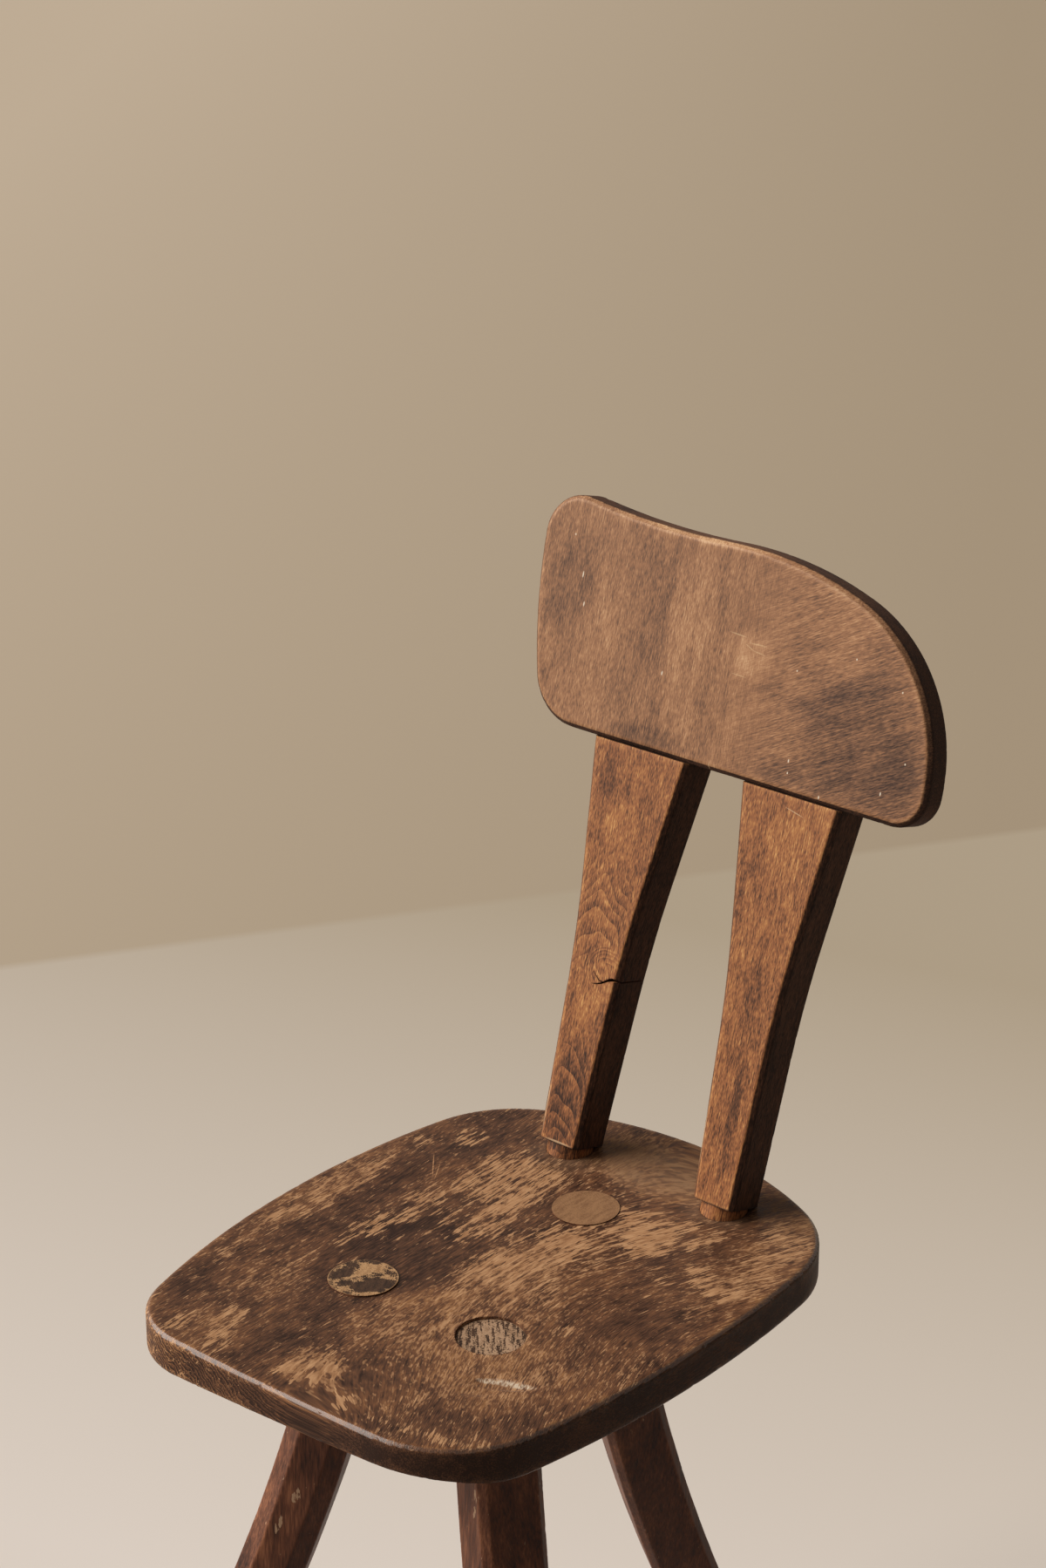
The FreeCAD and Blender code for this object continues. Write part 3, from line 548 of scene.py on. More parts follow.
def end_middle(node, side):
    """The middle of a node's flat end: side 1 is its top, side 0 its bottom."""
    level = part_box(node)[side].z
    rim = [v.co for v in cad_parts[node].data.vertices if abs(v.co.z - level) < END_SLACK * MM]
    return (Vector(map(min, zip(*rim))) + Vector(map(max, zip(*rim)))) / 2


def outward(node):
    """The level direction in which a leg splays."""
    heading = math.radians(LEG_HEADINGS[node])
    return Vector((math.cos(heading), math.sin(heading), 0))


def tenon_lines():
    """A point, an upward axis and a radius for each of the five tenons."""
    for node in LEG_HEADINGS:
        axis = UP * math.cos(LEG_TILT) - outward(node) * math.sin(LEG_TILT)
        yield end_middle(node, 1), axis, LEG_TENON
    for node in ("left_upright", "right_upright"):
        yield end_middle(node, 0), Vector((0, math.sin(BACK_LEAN), math.cos(BACK_LEAN))), NECK_TENON


def mesh_of(work, name):
    """The work on the bench as a mesh."""
    mesh = bpy.data.meshes.new(name)
    work.to_mesh(mesh)
    work.free()
    return mesh


def mortise_cutters():
    """Five long round cutters in one mesh."""
    work = bmesh.new()
    for middle, axis, tenon in tenon_lines():
        stand = Matrix.Translation(middle) @ axis.to_track_quat("Z", "Y").to_matrix().to_4x4()
        radius = (tenon + JOINT_GAP) * MM
        bmesh.ops.create_cone(work, cap_ends=True, segments=CUTTER_SIDES, radius1=radius, radius2=radius,
                              depth=CUTTER_LENGTH * MM, matrix=stand)
    return mesh_of(work, "mortise_cutters")


def drop_flaps(mesh):
    """Make all faces triangles, and delete the small ones that a thin cut leaves lying back to back."""
    work = bmesh.new()
    work.from_mesh(mesh)
    bmesh.ops.triangulate(work, faces=work.faces[:])
    twins = {}
    for face in work.faces:
        twins.setdefault(frozenset(face.verts), []).append(face)
    flaps = [face for pair in twins.values() if len(pair) > 1 for face in pair]
    bmesh.ops.delete(work, geom=flaps, context="FACES")
    work.to_mesh(mesh)
    work.free()


def cut_from(mesh, name, cutter_mesh):
    """The mesh less the volume of the cutter."""
    cutter = bpy.data.objects.new(name + "_cutter", cutter_mesh)
    bpy.context.collection.objects.link(cutter)

    def saw(bench):
        cut = bench.modifiers.new("cut", "BOOLEAN")
        cut.operation, cut.solver, cut.object = "DIFFERENCE", "EXACT", cutter

    result = evaluated(mesh, name, saw)
    bpy.data.objects.remove(cutter)
    drop_flaps(result)
    return result


print("tenon ends in mm:", [[round(v / MM) for v in middle] for middle, axis, radius in tenon_lines()])

# %% Where the seat is worn, dirty and dented
WORN_STROKES = (
    (-58, 45, 36, 42, 0, 0.65), (-38, -8, 15, 40, 0, 0.55), (-86, -15, 14, 52, 0, 0.45),
    (-95, -68, 9, 26, 0, 0.5), (-62, -30, 14, 28, 0, 0.3), (24, 54, 34, 28, 0, 0.28),
    (38, 22, 36, 44, -20, 0.4), (8, -20, 26, 44, 0, 0.42), (22, -56, 30, 40, 8, 0.3),
    (-8, -62, 11, 38, 6, 0.35), (63, 62, 9, 26, -12, 0.5), (85, 60, 10, 20, -8, 0.55),
    (62, 37, 20, 20, -20, 0.4), (113, 97, 10, 20, -10, 0.5), (130, 76, 14, 30, -8, 0.5),
    (136, 30, 14, 28, -6, 0.6), (110, 22, 20, 12, -30, 0.55), (92, 8, 18, 9, -35, 0.35),
    (-142, -47, 15, 66, 0, 0.42), (-137, -143, 8, 24, 0, 0.35), (-117, 70, 11, 14, 0, 0.4),
    (-138, 43, 9, 16, 0, 0.35), (-102, -217, 7, 18, 0, 0.5), (-76, -208, 11, 28, 24, 0.55),
    (-3, -208, 24, 26, 0, 0.5), (36, -222, 9, 10, 0, 0.4), (64, -202, 11, 15, 0, 0.2),
    (92, -219, 45, 5, 12, 0.45), (82, -80, 6, 10, 0, 0.45), (100, -138, 22, 9, 40, 0.4),
    (-95, -128, 7, 26, 0, 0.3), (51.5, -111, 22, 22, 0, 1.1), (-51.5, -111, 22, 22, 0, 0.7),
)
TONE_AND_FILL_LIGHT_STROKES = (
    (-58, -72, 45, 62, 0, -0.38), (-120, -45, 14, 90, 0, -0.15), (-95, -150, 26, 30, 0, 0.2),
    (-46, -168, 22, 26, 0, -0.1), (-44, -205, 13, 24, 0, -0.2), (-127, -176, 17, 40, 0, -0.1),
    (86, -200, 14, 14, 0, -0.15), (128, -180, 19, 26, 0, -0.12), (138, -105, 16, 34, 0, 0.2),
    (-4, -203, 22, 24, 0, 0.3), (62, -201, 13, 17, 0, 0.15), (-84, -207, 22, 24, 0, 0.2),
    (118, -45, 26, 24, 0, -0.25), (-113, 83, 25, 45, 0, -0.15), (30, -62, 45, 60, 0, 0.3),
    (75, -138, 58, 52, 0, 0.4), (0, -131, 34, 46, 0, 0.3), (131, 55, 26, 75, 0, 0.3),
    # The first two strokes on the next line lighten the stain where the uprights cast their shadow: painted
    # light.
    (8, 118, 60, 40, 0, 0.5), (-22, 112, 20, 18, 0, 0.3), (-145, -50, 14, 80, 0, 0.3),
    (105, 130, 40, 30, 0, 0.3), (-70, 125, 40, 25, 0, 0.2),
)
# Dust round the uprights' necks; the broad stroke between them also lifts their shadow as painted light.
DUST_AND_FILL_LIGHT_STROKES = ((-52, 88, 26, 20, 0, 0.5), (68, 92, 24, 18, 0, 0.5), (8, 112, 44, 30, 0, 0.7))
DENT_STROKES = ((93, -149, 6, 20, -60, 1.3), (87, -164, 5, 13, -50, 0.7), (0, -60, 130, 130, 0, 1.2))
# The wall's level at x = 0, its fall per mm to the right (painted shade), and its darkest and palest.
WALL_TONE, WALL_SHADE_FALL, WALL_DARKEST, WALL_PALEST = -0.1, 0.003, -0.32, 0.4
TOP_START, TOP_SPAN = 0.45, 0.4


def wall_wear_and_shade(spots):
    """How thin the stain is on the seat's wall: rubbed at the left, and darker to the right as painted shade.
    """
    return numpy.clip(WALL_TONE - WALL_SHADE_FALL * spots[:, 0], WALL_DARKEST, WALL_PALEST)


def on_seat_top(mesh):
    """1 where the surface looks up, falling over the upper arris to 0 on the wall."""
    return numpy.clip((rows_of(mesh, "normal")[:, 2] - TOP_START) / TOP_SPAN, 0, 1)


print(len(WORN_STROKES), "worn places")

# %% Seat plank: hull, dents, mortises and wear
TOP_FIGURE = 0.16
WALL_FIGURE, FIGURE_FALL, LEAST_FIGURE = 0.5, 0.005, 0.1
RIM_FROM, RIM_TO = 0.62, 0.95


def slab_hull():
    """The seat's solid without its mortises."""
    work = bmesh.new()
    work.from_mesh(sawn_mesh("seat"))
    hull = bmesh.ops.convex_hull(work, input=work.verts)
    inner = hull["geom_interior"] + hull["geom_unused"]
    spare = {item for item in inner if isinstance(item, bmesh.types.BMVert)}
    bmesh.ops.delete(work, geom=list(spare), context="VERTS")
    return mesh_of(work, "seat_hull")


slab = hand_finished(slab_hull(), "seat_slab", WORN_BEECH, grid=1.75, seed=1.0, rounds=2, waver=0.5)
spots = rows_of(slab, "place")
spots[:, 2] -= on_seat_top(slab) * stroke_field(spots, DENT_STROKES)
slab.vertices.foreach_set("co", (spots * MM).ravel())
plank = cut_from(slab, "seat_plank", mortise_cutters())
spots = rows_of(plank, "place")
top = on_seat_top(plank)
# On the wall the worn and tone fields take this slope, whose dark right end is painted shade.
thin_and_painted_light = wall_wear_and_shade(spots)
paint(plank, "worn_and_shade", top * stroke_field(spots, WORN_STROKES) + (1 - top) * thin_and_painted_light)
paint(plank, "tone_and_light", top * stroke_field(spots, TONE_AND_FILL_LIGHT_STROKES) + (1 - top) * thin_and_painted_light)
paint(plank, "dust_and_fill_light", top * stroke_field(spots, DUST_AND_FILL_LIGHT_STROKES))
paint(plank, "wall", 1 - top)
wall_figure = numpy.clip(WALL_FIGURE - FIGURE_FALL * spots[:, 0], LEAST_FIGURE, 1)
paint(plank, "figure", TOP_FIGURE * top + (1 - top) * wall_figure)
face_normals = numpy.empty(3 * len(plank.polygons), dtype=numpy.float32)
plank.polygons.foreach_get("normal", face_normals)
upness = face_normals[2::3]
on_rim = (upness >= RIM_FROM) & (upness < RIM_TO)
plank.polygons.foreach_set("material_index", on_rim.astype(numpy.int32))
plank.materials.append(RIM_BEECH)
add_piece("seat_plank", plank, "seat")

# %% [markdown]
# ## The legs
# Hewn legs of the same wood under a darker, redder stain, with pale scuffs. Their tenon ends show on the
# seat's top, sawn flush and crisp, so the rounded rim that the grid makes must not remain: each tenon is
# drawn out a little before it is rebuilt and then cut off again where the solid ends. The three ends have
# worn differently: one keeps blotches of stain, one dark streaks, one is almost bare. Cloth has rubbed a
# thin bare rim round each.

# %% Dark leg wood and the three tenon ends
LEG_SCUFFS = (((-73, -153, 293), (4, 4, 10), (0, 25, 0)), ((-83, -159, 270), (3, 3, 12), (0, 20, 0)),
              ((71, -149, 347), (3, 3, 14), (0, 0, 0)), ((108, -128, 296), (3, 3, 10), (0, 0, 0)))
TENON_RIM = 21.8
KEPT_SHARE = 0.17


def dark_leg_wood():
    # A thick dark stain hides most of the figure. The eye gets a red-brown satin surface with a soft gleam
    # on the arrises, and small pale knocks where the stain has gone.
    material, tree, shader = new_finish("dark_stained_beech", Specular_IOR_Level=0.17)
    place = put(tree, "TexCoord").outputs["Object"]
    arris = put(tree, "Attribute", attribute_name="arris").outputs["Fac"]
    fibres = streaks(tree, place, (1.3, 1.3, 16), seed=11.0)
    clouds = streaks(tree, place, (14, 14, 50), seed=12.0)
    scuffs = streaks(tree, place, (2.2, 2.2, 7), seed=13.0)
    level = weighed(tree, 0.42, (clouds, 0.5, 1.3), (fibres, 0.5, 1.2), (arris, 0.0, 0.25))
    stain = put(tree, "ValToRGB", {"Fac": level},
                stops=((0.1, "#2a150e"), (0.5, "#623b29"), (0.9, "#925f43")))
    knocked = weighed(tree, scuffs, (arris, 0.0, 0.08), (marks(tree, place, LEG_SCUFFS), 0.0, 0.26))
    bare = put(tree, "MapRange", {"Value": knocked, "From Min": 0.70, "From Max": 0.74})
    colour = put(tree, "Mix", {"Factor": bare, "A": stain, "B": linear("#a58468")}, data_type="RGBA")
    rough = put(tree, "MapRange", {"Value": fibres, "To Min": 0.35, "To Max": 0.6})
    link_finish(tree, shader, colour, rough, fibres, depth=0.2)
    return material


def tenon_end(node, name, seed, size, turn, bare_share, light, dark, kept=(), paler=()):
    """The sawn end of a tenon: dark stain in patches of size mm, turned in plan, on wood with a bare rim.

    The stain is kept at some marks and rubbed off at others.
    """
    # End grain drinks the stain and is dull: the eye sees dark pores and patches on dry, pale wood.
    material, tree, shader = new_finish(name, Specular_IOR_Level=0.15)
    place = put(tree, "TexCoord").outputs["Object"]
    patches = streaks(tree, place, (*size, 30), seed=seed, detail=3.0, turn=(0, 0, turn))
    pores = streaks(tree, place, (0.9, 0.9, 8), seed=14.0)
    smears = streaks(tree, place, (3, 9, 30), seed=15.0, turn=(0, 0, turn))
    film = weighed(tree, patches, (pores, 0.5, 0.5), (marks(tree, place, kept), 0.0, -KEPT_SHARE),
                   (marks(tree, place, paler), 0.0, KEPT_SHARE))
    bare = put(tree, "MapRange", {"Value": film, "From Min": 0.52 - bare_share,
               "From Max": 0.57 - bare_share})
    disc = marks(tree, place, [(end_middle(node, 1) / MM, (TENON_RIM, TENON_RIM, 60), (0, 0, 0))])
    rim = weighed(tree, 0.8, (disc, 0.0, -12.0))
    bare = put(tree, "Math", {0: bare, 1: rim}, operation="MAXIMUM")
    level = weighed(tree, pores, (smears, 0.5, 0.8))
    wood = put(tree, "ValToRGB", {"Fac": level}, stops=((0.3, dark), (0.6, light)))
    stain = put(tree, "ValToRGB", {"Fac": level}, stops=((0.3, "#2a1d16"), (0.7, "#553d2d")))
    colour = put(tree, "Mix", {"Factor": bare, "A": stain, "B": wood}, data_type="RGBA")
    rough = put(tree, "MapRange", {"Value": film, "To Min": 0.5, "To Max": 0.7})
    link_finish(tree, shader, colour, rough, film, depth=0.2)
    return material


DARK_LEG = dark_leg_wood()
TENON_LOOKS = {
    "front_left_leg": dict(
        name="blotched_tenon_end", seed=4.0, size=(9, 6), turn=30, bare_share=0.03,
        light="#bb936a", dark="#8c6847",
        kept=(((-42, -116, 440), (15, 10, 9), (0, 0, 40)), ((-64, -113, 440), (7, 6, 9), (0, 0, 40))),
        paler=(((-56, -98, 440), (11, 6, 9), (0, 0, 20)), ((-57, -109, 440), (7, 4, 9), (0, 0, 70)))),
    "front_right_leg": dict(
        name="streaked_tenon_end", seed=2.0, size=(2.0, 15), turn=41, bare_share=0.06,
        light="#b08f72", dark="#88694f"),
    "rear_leg": dict(
        name="plain_tenon_end", seed=3.0, size=(14, 14), turn=0, bare_share=0.3,
        light="#977150", dark="#77553b"),
}
TENON_ENDS = {node: tenon_end(node, **look) for node, look in TENON_LOOKS.items()}
print("tenon ends:", ", ".join(m.name for m in TENON_ENDS.values()))

# %% Three hewn legs
DRAW_OUT = 8


def hewn_leg(node, seed):
    """A leg with soft arrises below the seat and a crisp tenon end that has a finish of its own."""
    mesh = sawn_mesh(node)
    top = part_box(node)[1].z
    draw_out = (UP - outward(node) * math.tan(LEG_TILT)) * DRAW_OUT * MM
    for vertex in mesh.vertices:
        if top - vertex.co.z < END_SLACK * MM:
            vertex.co += draw_out
    leg = hand_finished(mesh, node, DARK_LEG, grid=1.3, seed=seed, waver=0.9)
    work = bmesh.new()
    work.from_mesh(leg)
    whole = work.verts[:] + work.edges[:] + work.faces[:]
    cut = bmesh.ops.bisect_plane(work, geom=whole, plane_co=(0, 0, top), plane_no=UP, clear_outer=True)
    rim = [item for item in cut["geom_cut"] if isinstance(item, bmesh.types.BMEdge)]
    end = bmesh.ops.triangle_fill(work, edges=rim, use_beauty=True, normal=UP)
    for face in end["geom"]:
        if isinstance(face, bmesh.types.BMFace):
            face.material_index = 1
            face.smooth = True
    work.to_mesh(leg)
    work.free()
    leg.materials.append(TENON_ENDS[node])
    return leg


for number, node in enumerate(LEG_HEADINGS):
    add_piece("hewn_" + node, hewn_leg(node, seed=11.0 + number), node)

# %% [markdown]
# ## The uprights
# Two flared paddles. The left one is flat-sawn, so that its growth rings run out on the face as nested
# arches, and on the right one they run straight. They come from a solid figure: the distance from a pith
# line behind the face, plus a slope along the wood. A flat image of arches would not run on round the
# edges. A knot pushes the rings of the left one aside, and cracks run out of it to the right edge. They are
# real cuts, sawn one wedge at a time, because wedges that meet in one cutter would spoil the Boolean. The
# sawn sides are much darker than the faces, partly from stain pooled there and partly as painted shade.
# Bevels that face up are painted paler, a painted highlight, and those that face right or down darker, a
# painted shade. The round necks are worn orange.

# %% The leaning frame of the back
LEAN_TURN = Matrix.Rotation(BACK_LEAN, 4, "X")
SHOULDER = Vector((6.2, 100.7, 444.8)) * MM
SHOULDER_FADE = 2
FACE_EDGE, FACE_FADE = 0.96, 0.2
BEVEL_EDGE, BEVEL_FADE = 0.45, 0.15
# How much paler a bevel is painted: some on all, more as it faces up (painted highlight), less facing right.
BEVEL_LIGHT, BEVEL_LIGHT_UP, BEVEL_SHADE_RIGHT = 0.4, 0.85, 0.6


def back_place(tree):
    """Coordinates of the leaning back from its shoulder: x right, y to the rear, z up along the uprights."""
    place = put(tree, "TexCoord").outputs["Object"]
    return put(tree, "Mapping", {"Vector": place, "Location": SHOULDER,
               "Rotation": (-BACK_LEAN, 0, 0)}, vector_type="TEXTURE")


def back_rows(mesh, layer):
    """Places in mm, or normals, in the leaning frame of the back."""
    rows = rows_of(mesh, layer)
    if layer == "place":
        rows = rows - numpy.array(SHOULDER) / MM
    return rows @ numpy.array(LEAN_TURN.to_3x3()).T


def paint_sides(mesh):
    """Paint side: 1 on sawn sides and bevels above the shoulder, less on bevels facing up (painted
    highlight).
    """
    right, front, up = back_rows(mesh, "normal").T
    above = numpy.clip(back_rows(mesh, "place")[:, 2] / SHOULDER_FADE + 1, 0, 1)
    turned = numpy.clip((FACE_EDGE - numpy.abs(front)) / FACE_FADE, 0, 1)
    bevel = numpy.clip((numpy.abs(front) - BEVEL_EDGE) / BEVEL_FADE, 0, 1)
    # Bevels facing up are painted paler, a highlight; those facing right or down keep the dark, a painted
    # shade.
    paler = numpy.clip(BEVEL_LIGHT + BEVEL_LIGHT_UP * up - BEVEL_SHADE_RIGHT * numpy.clip(right, 0, 1), 0, 1)
    paint(mesh, "side", above * turned * (1 - bevel * paler))


print("the back leans by", round(math.degrees(BACK_LEAN)), "degrees")

# %% Brown ringed beech
SIDE_STOPS = ((0.0, "#1c110b"), (0.3, "#35231a"), (0.8, "#664431"))
FACE_STOPS = ((0.0, "#2f1c12"), (0.27, "#633e27"), (0.52, "#935d39"), (0.74, "#ae7747"), (1.0, "#d0a066"))
RUBBED_EDGES = (((46, -15, 35), (0.8, 4, 32), (0, 0, 0)), ((-63, -15, 1), (13, 4, 0.9), (0, 0, 0)),
                ((-77, -15, 22), (0.8, 4, 22), (0, 0, 0)), ((65, -16, 258), (9, 3, 0.4), (0, 12, 0)))
RUBBED_SHARE = 0.6


def face_and_sides(tree, level, arris, side, face_stops):
    """The face's stain colours at a level, and the darker ones of the sawn sides: stain and painted shade."""
    face = put(tree, "ValToRGB", {"Fac": level}, stops=face_stops)
    edge = put(tree, "ValToRGB", {"Fac": weighed(tree, level, (arris, 0.0, -0.5))}, stops=SIDE_STOPS)
    return put(tree, "Mix", {"Factor": side, "A": face, "B": edge}, data_type="RGBA")


def upright_wood(name, pith, slope, ring, seed):
    # A thin brown stain lets the figure through: the eye follows dark ring lines and short flecks on warm,
    # satin orange-brown.
    material, tree, shader = new_finish(name, Specular_IOR_Level=0.18)
    place = back_place(tree)
    arris, shade, figure, swell, side = (
        put(tree, "Attribute", attribute_name=field).outputs["Fac"]
        for field in ("arris", "shade", "figure", "swell", "side"))
    height = put(tree, "SeparateXYZ", {"Vector": place}).outputs["Z"]
    from_pith = put(tree, "VectorMath", {0: place, 1: [v * MM for v in pith]}, operation="SUBTRACT")
    flat = put(tree, "VectorMath", {0: from_pith, 1: (1, 1, 0)}, operation="MULTIPLY")
    radius = put(tree, "VectorMath", {0: flat}, operation="LENGTH").outputs["Value"]
    wander = streaks(tree, place, (30, 30, 70), seed=seed, detail=1.0)
    rise = put(tree, "Math", {0: height, 1: slope, 2: radius}, operation="MULTIPLY_ADD")
    count = put(tree, "Math", {0: rise, 1: 1 / (ring * MM)}, operation="MULTIPLY")
    count = weighed(tree, count, (wander, 0.5, 6.0), (swell, 0.0, 5.0))
    arch = ring_lines(tree, count, figure)
    fibres = streaks(tree, place, (0.8, 0.8, 13), seed=seed + 1)
    flecks = streaks(tree, place, (0.8, 0.8, 3.6), seed=seed + 2, detail=1.0)
    mottles = streaks(tree, place, (4, 4, 11), seed=seed + 3)
    clouds = streaks(tree, place, (14, 14, 40), seed=seed + 4)
    level = weighed(tree, 0.47, (arch, 0.0, 0.4), (fibres, 0.5, 1.2), (flecks, 0.5, -1.2),
                    (mottles, 0.5, 0.55), (clouds, 0.5, 0.6), (shade, 0.0, 0.5), (arris, 0.0, 0.2))
    colour = face_and_sides(tree, level, arris, side, FACE_STOPS)
    paler = marks(tree, place, RUBBED_EDGES)
    paler = put(tree, "Math", {0: paler, 1: RUBBED_SHARE}, operation="MULTIPLY")
    colour = put(tree, "Mix", {"Factor": paler, "A": colour, "B": linear("#d0b08a")}, data_type="RGBA")
    rough = weighed(tree, 0.44, (level, 0.5, -0.12), (side, 0.0, 0.35))
    link_finish(tree, shader, colour, rough, fibres, depth=0.15)
    return material


ARCHED_BEECH = upright_wood("flat_sawn_beech", pith=(-66, 14, 0), slope=0.25, ring=2.9, seed=21.0)
STRAIGHT_BEECH = upright_wood("rift_sawn_beech", pith=(20, 40, 0), slope=0.02, ring=3.5, seed=31.0)
print("upright finishes:", ARCHED_BEECH.name, STRAIGHT_BEECH.name)

# %% Cutters for cracks
CRACK_START = -40
# A crack follows a line of points: x, z, half width and depth.
KNOT_CRACKS = (
    ((-61, 110, 0.2, -10), (-57.5, 110.4, 0.6, -6), (-54.5, 111.6, 0.9, -2), (-52, 113, 1.2, 0),
     (-48, 115.6, 1.6, 5), (-45, 116.6, 1.5, 8), (-42, 116.2, 1.2, 10), (-36, 113.6, 0.8, 12)),
    ((-61, 118, 0.2, -12), (-58, 115.5, 0.6, -10), (-55.5, 113.4, 0.7, -8), (-52, 113, 0.7, -8)),
)


def crack_mesh(line):
    """A thin wedge along a line in mm of the leaning frame, from before the face to each point's depth."""
    turn = Matrix.Translation(SHOULDER) @ LEAN_TURN.inverted()
    work = bmesh.new()
    rings = []
    for x, z, half, depth in line:
        section = ((x, CRACK_START, z + half), (x, depth, z + half / 3), (x, depth, z - half / 3),
                   (x, CRACK_START, z - half))
        rings.append([work.verts.new(turn @ (Vector(corner) * MM)) for corner in section])
    for one, two in zip(rings, rings[1:]):
        for i in range(4):
            work.faces.new((one[i], one[i - 1], two[i - 1], two[i]))
    work.faces.new(rings[0])
    work.faces.new(rings[-1][::-1])
    bmesh.ops.recalc_face_normals(work, faces=work.faces)
    return mesh_of(work, "crack")


print(len(KNOT_CRACKS), "cracks at the knot")

# %% Two paddles, one with a cracked knot
UPRIGHTS = {
    "left_upright": {
        "finish": ARCHED_BEECH, "cracks": KNOT_CRACKS,
        "shade": ((-79, 242, 9, 12, 20, -0.25), (-72, 233, 14, 8, 30, -0.2), (-62, 28, 15, 45, 0, -0.5),
                  (-58, 105, 13, 20, 0, 0.35), (-66, 205, 10, 30, 0, 0.15)),
        "figure": ((-62, 150, 26, 50, 0, 0.8), (-62, 36, 15, 46, 0, 1.0)),
        "swell": ((-54, 116, 15, 18, 0, 1.0),)},
    "right_upright": {
        "finish": STRAIGHT_BEECH, "cracks": (),
        "shade": ((66, 60, 4, 40, 0, -0.45), (63, 140, 6, 30, 0, -0.3), (66, 238, 24, 22, 0, 0.2),
                  (48, 215, 5, 30, 8, -0.25)),
        "figure": ((63, 120, 40, 150, 0, 0.3),), "swell": ()},
}
for number, (node, plan) in enumerate(UPRIGHTS.items()):
    wood = sawn_mesh(node)
    paddle = hand_finished(wood, node, plan["finish"], grid=1.2, seed=21.0 + number, turn=LEAN_TURN)
    for line in plan["cracks"]:
        paddle = cut_from(paddle, node, crack_mesh(line))
    spots = back_rows(paddle, "place")
    for field in ("shade", "figure", "swell"):
        paint(paddle, field, stroke_field(spots[:, [0, 2]], plan[field]))
    paint_sides(paddle)
    add_piece(node + "_paddle", paddle, node)

# %% [markdown]
# ## The back board
# A board with a free outline, stained mid brown and polished by backs. Short dark flecks of the rays stand
# upright on its left half and slant on its right half, where the grain turns, and broad soft bands lie
# under them. One turned noise would slant everywhere, so each kind of streak is made twice, upright and
# slanted, and mixed across the board. The gleam of the polish at the hollow and along the top bevel is
# painted into the colour as a highlight.

# %% Polished brown beech
# A kind of streak: its size where it stands upright, its size where it slants, and a seed.
BOARD_STREAKS = (((0.8, 0.8, 4), (0.8, 0.8, 5), 41.0), ((0.8, 0.8, 16), (0.9, 0.9, 22), 42.0),
                 ((3, 3, 10), (2.2, 2.2, 26), 43.0), ((8, 8, 55), (7, 7, 60), 44.0))
SLANT, SLANT_FROM, SLANT_TO = 62, -20, 50
BOARD_STOPS = ((0.0, "#38241a"), (0.25, "#664733"), (0.5, "#916647"), (0.7, "#aa7d59"), (1.0, "#cca57d"))
PAINT_SPECKS = [((x, -16, z), (0.6, 4, tall), (0, 0, 0)) for x, z, tall in (
    (-130, 366, 2.6), (-125, 347.5, 2.0), (-142, 390, 0.8), (-54, 318.5, 1.8), (87, 361, 0.8),
    (124, 349, 0.8), (136, 307, 0.8), (123, 285, 1.5), (53, 288, 1.4), (80, 271.5, 1.4), (54, 280.5, 0.9),
    (46, 344, 0.7))]
BOARD_SCRATCHES = [((x, -16, z), (wide, 4, tall), (0, turn, 0)) for x, z, wide, tall, turn in (
    (-2, 356, 8, 0.5, 3), (14, 353, 8, 0.5, -3), (16, 348, 6, 0.4, 6), (4, 331, 7, 0.4, 2),
    (8, 350, 5, 0.4, 24), (-5, 270, 0.6, 4, 0))]


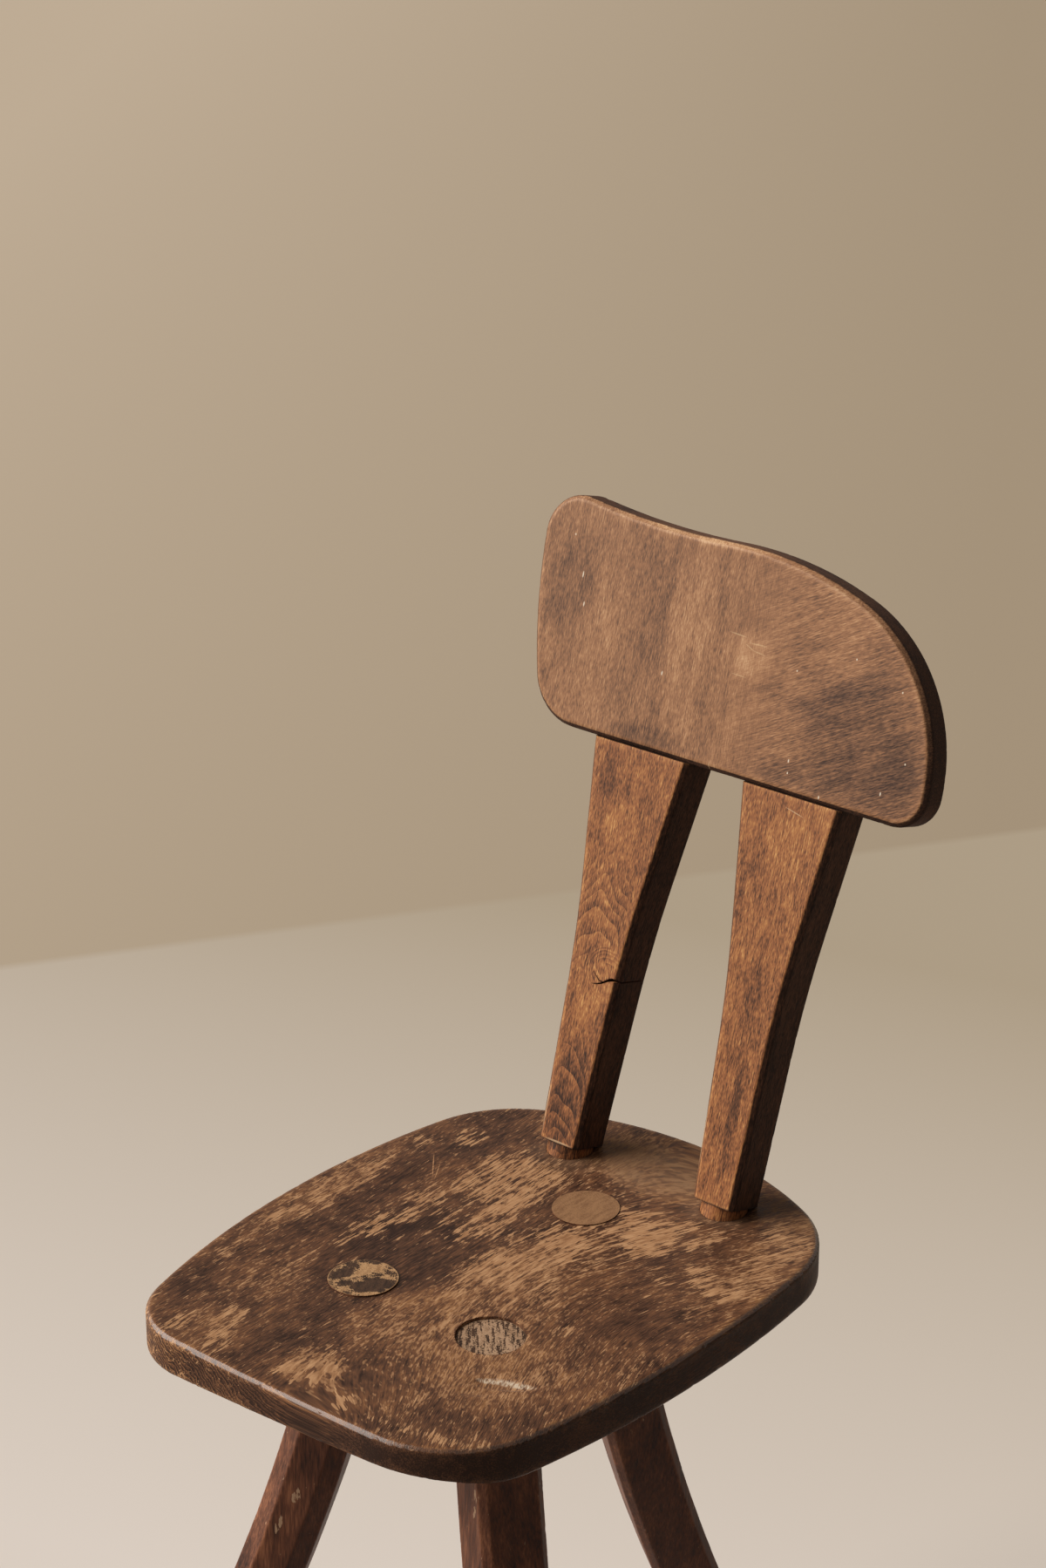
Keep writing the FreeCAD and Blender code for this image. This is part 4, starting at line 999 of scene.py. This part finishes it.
def board_wood():
    # Beech polished by backs has a soft, even sheen: the eye sees short dark flecks on warm brown, cloudy
    # where the stain took unevenly, and hardly any gloss.
    material, tree, shader = new_finish("polished_brown_beech", Specular_IOR_Level=0.18)
    place = back_place(tree)
    arris, shade, side = (put(tree, "Attribute", attribute_name=field).outputs["Fac"]
                          for field in ("arris", "shade", "side"))
    x = put(tree, "SeparateXYZ", {"Vector": place}).outputs["X"]
    right = put(tree, "MapRange", {"Value": x, "From Min": SLANT_FROM * MM, "From Max": SLANT_TO * MM},
                interpolation_type="SMOOTHSTEP")
    kinds = []
    for size, slanted_size, seed in BOARD_STREAKS:
        upright = streaks(tree, place, size, seed=seed)
        slanted = streaks(tree, place, slanted_size, seed=seed, turn=(0, SLANT, 0))
        kinds.append(put(tree, "Mix", {"Factor": right, "A": upright, "B": slanted}))
    flecks, fibres, mottles, bands = kinds
    clouds = streaks(tree, place, (24, 24, 38), seed=45.0)
    # shade is the board's uneven stain, with painted highlights at the hollow and along the top bevel.
    level = weighed(tree, 0.48, (bands, 0.5, 0.45), (clouds, 0.5, 0.3), (mottles, 0.5, 0.4),
                    (fibres, 0.5, 0.7), (flecks, 0.5, 1.2), (shade, 0.0, 0.32), (arris, 0.0, 0.25))
    colour = face_and_sides(tree, level, arris, side, BOARD_STOPS)
    for rows, tint, share in ((BOARD_SCRATCHES, "#d3b287", 0.45), (PAINT_SPECKS, "#d8c9b4", 1.0)):
        cover = put(tree, "Math", {0: marks(tree, place, rows), 1: share}, operation="MULTIPLY")
        colour = put(tree, "Mix", {"Factor": cover, "A": colour, "B": linear(tint)}, data_type="RGBA")
    rough = weighed(tree, 0.43, (flecks, 0.5, 0.14), (side, 0.0, 0.35))
    link_finish(tree, shader, colour, rough, flecks, depth=0.12)
    return material


# Uneven stain on the board, and three painted highlights: the gleam at (10, 345) and the top bevel at z 411
# and 419.
BOARD_TONES_AND_HIGHLIGHTS = (
    (-138, 360, 20, 36, -15, -0.45), (-70, 356, 14, 48, 0, -0.35), (-35, 330, 18, 66, 0, 0.3),
    (-22, 343, 7, 60, 0, -0.2), (10, 345, 17, 16, 0, 0.7), (45, 325, 26, 6, -6, -0.3),
    (96, 344, 40, 9, 28, -0.3), (49, 278, 18, 11, 0, -0.45), (-55, 274, 28, 11, 0, -0.6),
    (104, 306, 54, 44, 0, -0.7), (-105, 330, 12, 50, 8, 0.2), (-45, 411, 62, 4.5, 0, 0.8),
    (-130, 419, 30, 5, 0, 0.5), (130, 290, 22, 30, 0, -0.2),
)
BOARD_BEECH = board_wood()
board = hand_finished(sawn_mesh("back_board"), "back_board", BOARD_BEECH, grid=1.3, seed=41.0,
                      turn=LEAN_TURN)
paint(board, "shade", stroke_field(back_rows(board, "place")[:, [0, 2]], BOARD_TONES_AND_HIGHLIGHTS))
paint_sides(board)
add_piece("back_board_face", board, "back_board")

# %% [markdown]
# ## The screws
# Four slotted steel screws hold the board from behind. Their solids are right as they are and only need a
# finish.

# %% Dulled steel
def dulled_steel():
    # Bare steel that has tarnished: a grey-brown metal whose reflections are broken up and dim.
    material, tree, shader = new_finish("dulled_steel", Metallic=1.0)
    place = put(tree, "TexCoord").outputs["Object"]
    tarnish = streaks(tree, place, (1.5, 1.5, 1.5), seed=51.0)
    colour = put(tree, "ValToRGB", {"Fac": tarnish}, stops=((0.35, "#4a423b"), (0.65, "#8d8780")))
    rough = put(tree, "MapRange", {"Value": tarnish, "To Min": 0.55, "To Max": 0.35})
    link_finish(tree, shader, colour, rough, tarnish, depth=0.05)
    return material


STEEL = dulled_steel()
for node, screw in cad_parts.items():
    if node.endswith("_screw"):
        screw.data.materials.clear()
        screw.data.materials.append(STEEL)
print("screws finished with", STEEL.name)
